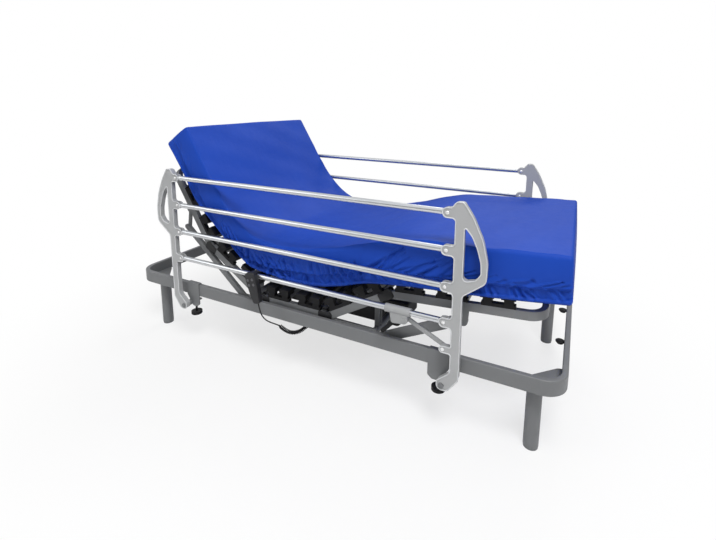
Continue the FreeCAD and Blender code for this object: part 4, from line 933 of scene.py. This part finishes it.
# white where the camera looks; even light elsewhere; mirrors see grey low down and paler high up
def addWorld():
    world = bpy.data.worlds.new("studioWorld")
    bpy.context.scene.world = world
    world.use_nodes = True
    tree = world.node_tree
    tree.nodes.clear()
    out = tree.nodes.new("ShaderNodeOutputWorld")
    light = tree.nodes.new("ShaderNodeBackground")
    light.inputs["Strength"].default_value = studio["skyStrength"]
    seen = tree.nodes.new("ShaderNodeBackground")
    seen.inputs["Color"].default_value = (1, 1, 1, 1)
    mirror = tree.nodes.new("ShaderNodeBackground")
    split = tree.nodes.new("ShaderNodeSeparateXYZ")
    tree.links.new(tree.nodes.new("ShaderNodeTexCoord").outputs["Generated"], split.inputs[0])
    ramp = tree.nodes.new("ShaderNodeMapRange")
    ramp.interpolation_type = "SMOOTHSTEP"
    ramp.inputs["From Min"].default_value, ramp.inputs["From Max"].default_value = studio["mirrorSpan"]
    tree.links.new(split.outputs[2], ramp.inputs["Value"])
    tree.links.new(colourMix(tree, ramp.outputs[0], studio["mirrorLow"], studio["mirrorHigh"]),
                   mirror.inputs["Color"])
    rays = tree.nodes.new("ShaderNodeLightPath")
    first = tree.nodes.new("ShaderNodeMixShader")
    tree.links.new(rays.outputs["Is Glossy Ray"], first.inputs[0])
    tree.links.new(light.outputs[0], first.inputs[1])
    tree.links.new(mirror.outputs[0], first.inputs[2])
    second = tree.nodes.new("ShaderNodeMixShader")
    straight = calc(tree, "MAXIMUM", rays.outputs["Is Camera Ray"], rays.outputs["Is Transmission Ray"])
    tree.links.new(straight, second.inputs[0])
    tree.links.new(first.outputs[0], second.inputs[1])
    tree.links.new(seen.outputs[0], second.inputs[2])
    tree.links.new(second.outputs[0], out.inputs[0])


# flat sheet under the bed; it turns to plain white away from the bed, where no shadow falls
def addFloor():
    line = np.linspace(-studio["floorReach"], studio["floorReach"], 3)
    x, y = np.meshgrid(line, line, indexing="ij")
    mesh = gridMesh("floorSheet", np.stack([x, y, np.zeros_like(x)], axis=-1))
    item = addObject("floorSheet", mesh)
    material, tree, shader = newMaterial("floorWhite")
    shader.inputs["Base Color"].default_value = studio["floorColour"]
    shader.inputs["Roughness"].default_value = studio["floorRoughness"]
    out = [node for node in tree.nodes if node.type == "OUTPUT_MATERIAL"][0]
    glow = tree.nodes.new("ShaderNodeEmission")
    glow.inputs["Strength"].default_value = 1.0
    distance = tree.nodes.new("ShaderNodeVectorMath")
    distance.operation = "LENGTH"
    tree.links.new(objectCoords(tree), distance.inputs[0])
    ramp = tree.nodes.new("ShaderNodeMapRange")
    ramp.interpolation_type = "SMOOTHSTEP"
    ramp.inputs["From Min"].default_value, ramp.inputs["From Max"].default_value = studio["floorFade"]
    tree.links.new(distance.outputs["Value"], ramp.inputs["Value"])
    rays = tree.nodes.new("ShaderNodeLightPath")
    # the camera sees the floor's shadows paler than they fall, and plain white further out
    ramp.inputs["To Min"].default_value = studio["floorVeil"]
    factor = calc(tree, "MULTIPLY", ramp.outputs[0], rays.outputs["Is Camera Ray"])
    mix = tree.nodes.new("ShaderNodeMixShader")
    tree.links.new(factor, mix.inputs[0])
    tree.links.new(shader.outputs[0], mix.inputs[1])
    tree.links.new(glow.outputs[0], mix.inputs[2])
    tree.links.new(mix.outputs[0], out.inputs[0])
    dress(item, material)


addFloor()
addWorld()
for name in ("key", "fill", "back"):
    addLamp(name + "Lamp", studio[name])
print("studio set")

print("finishing")
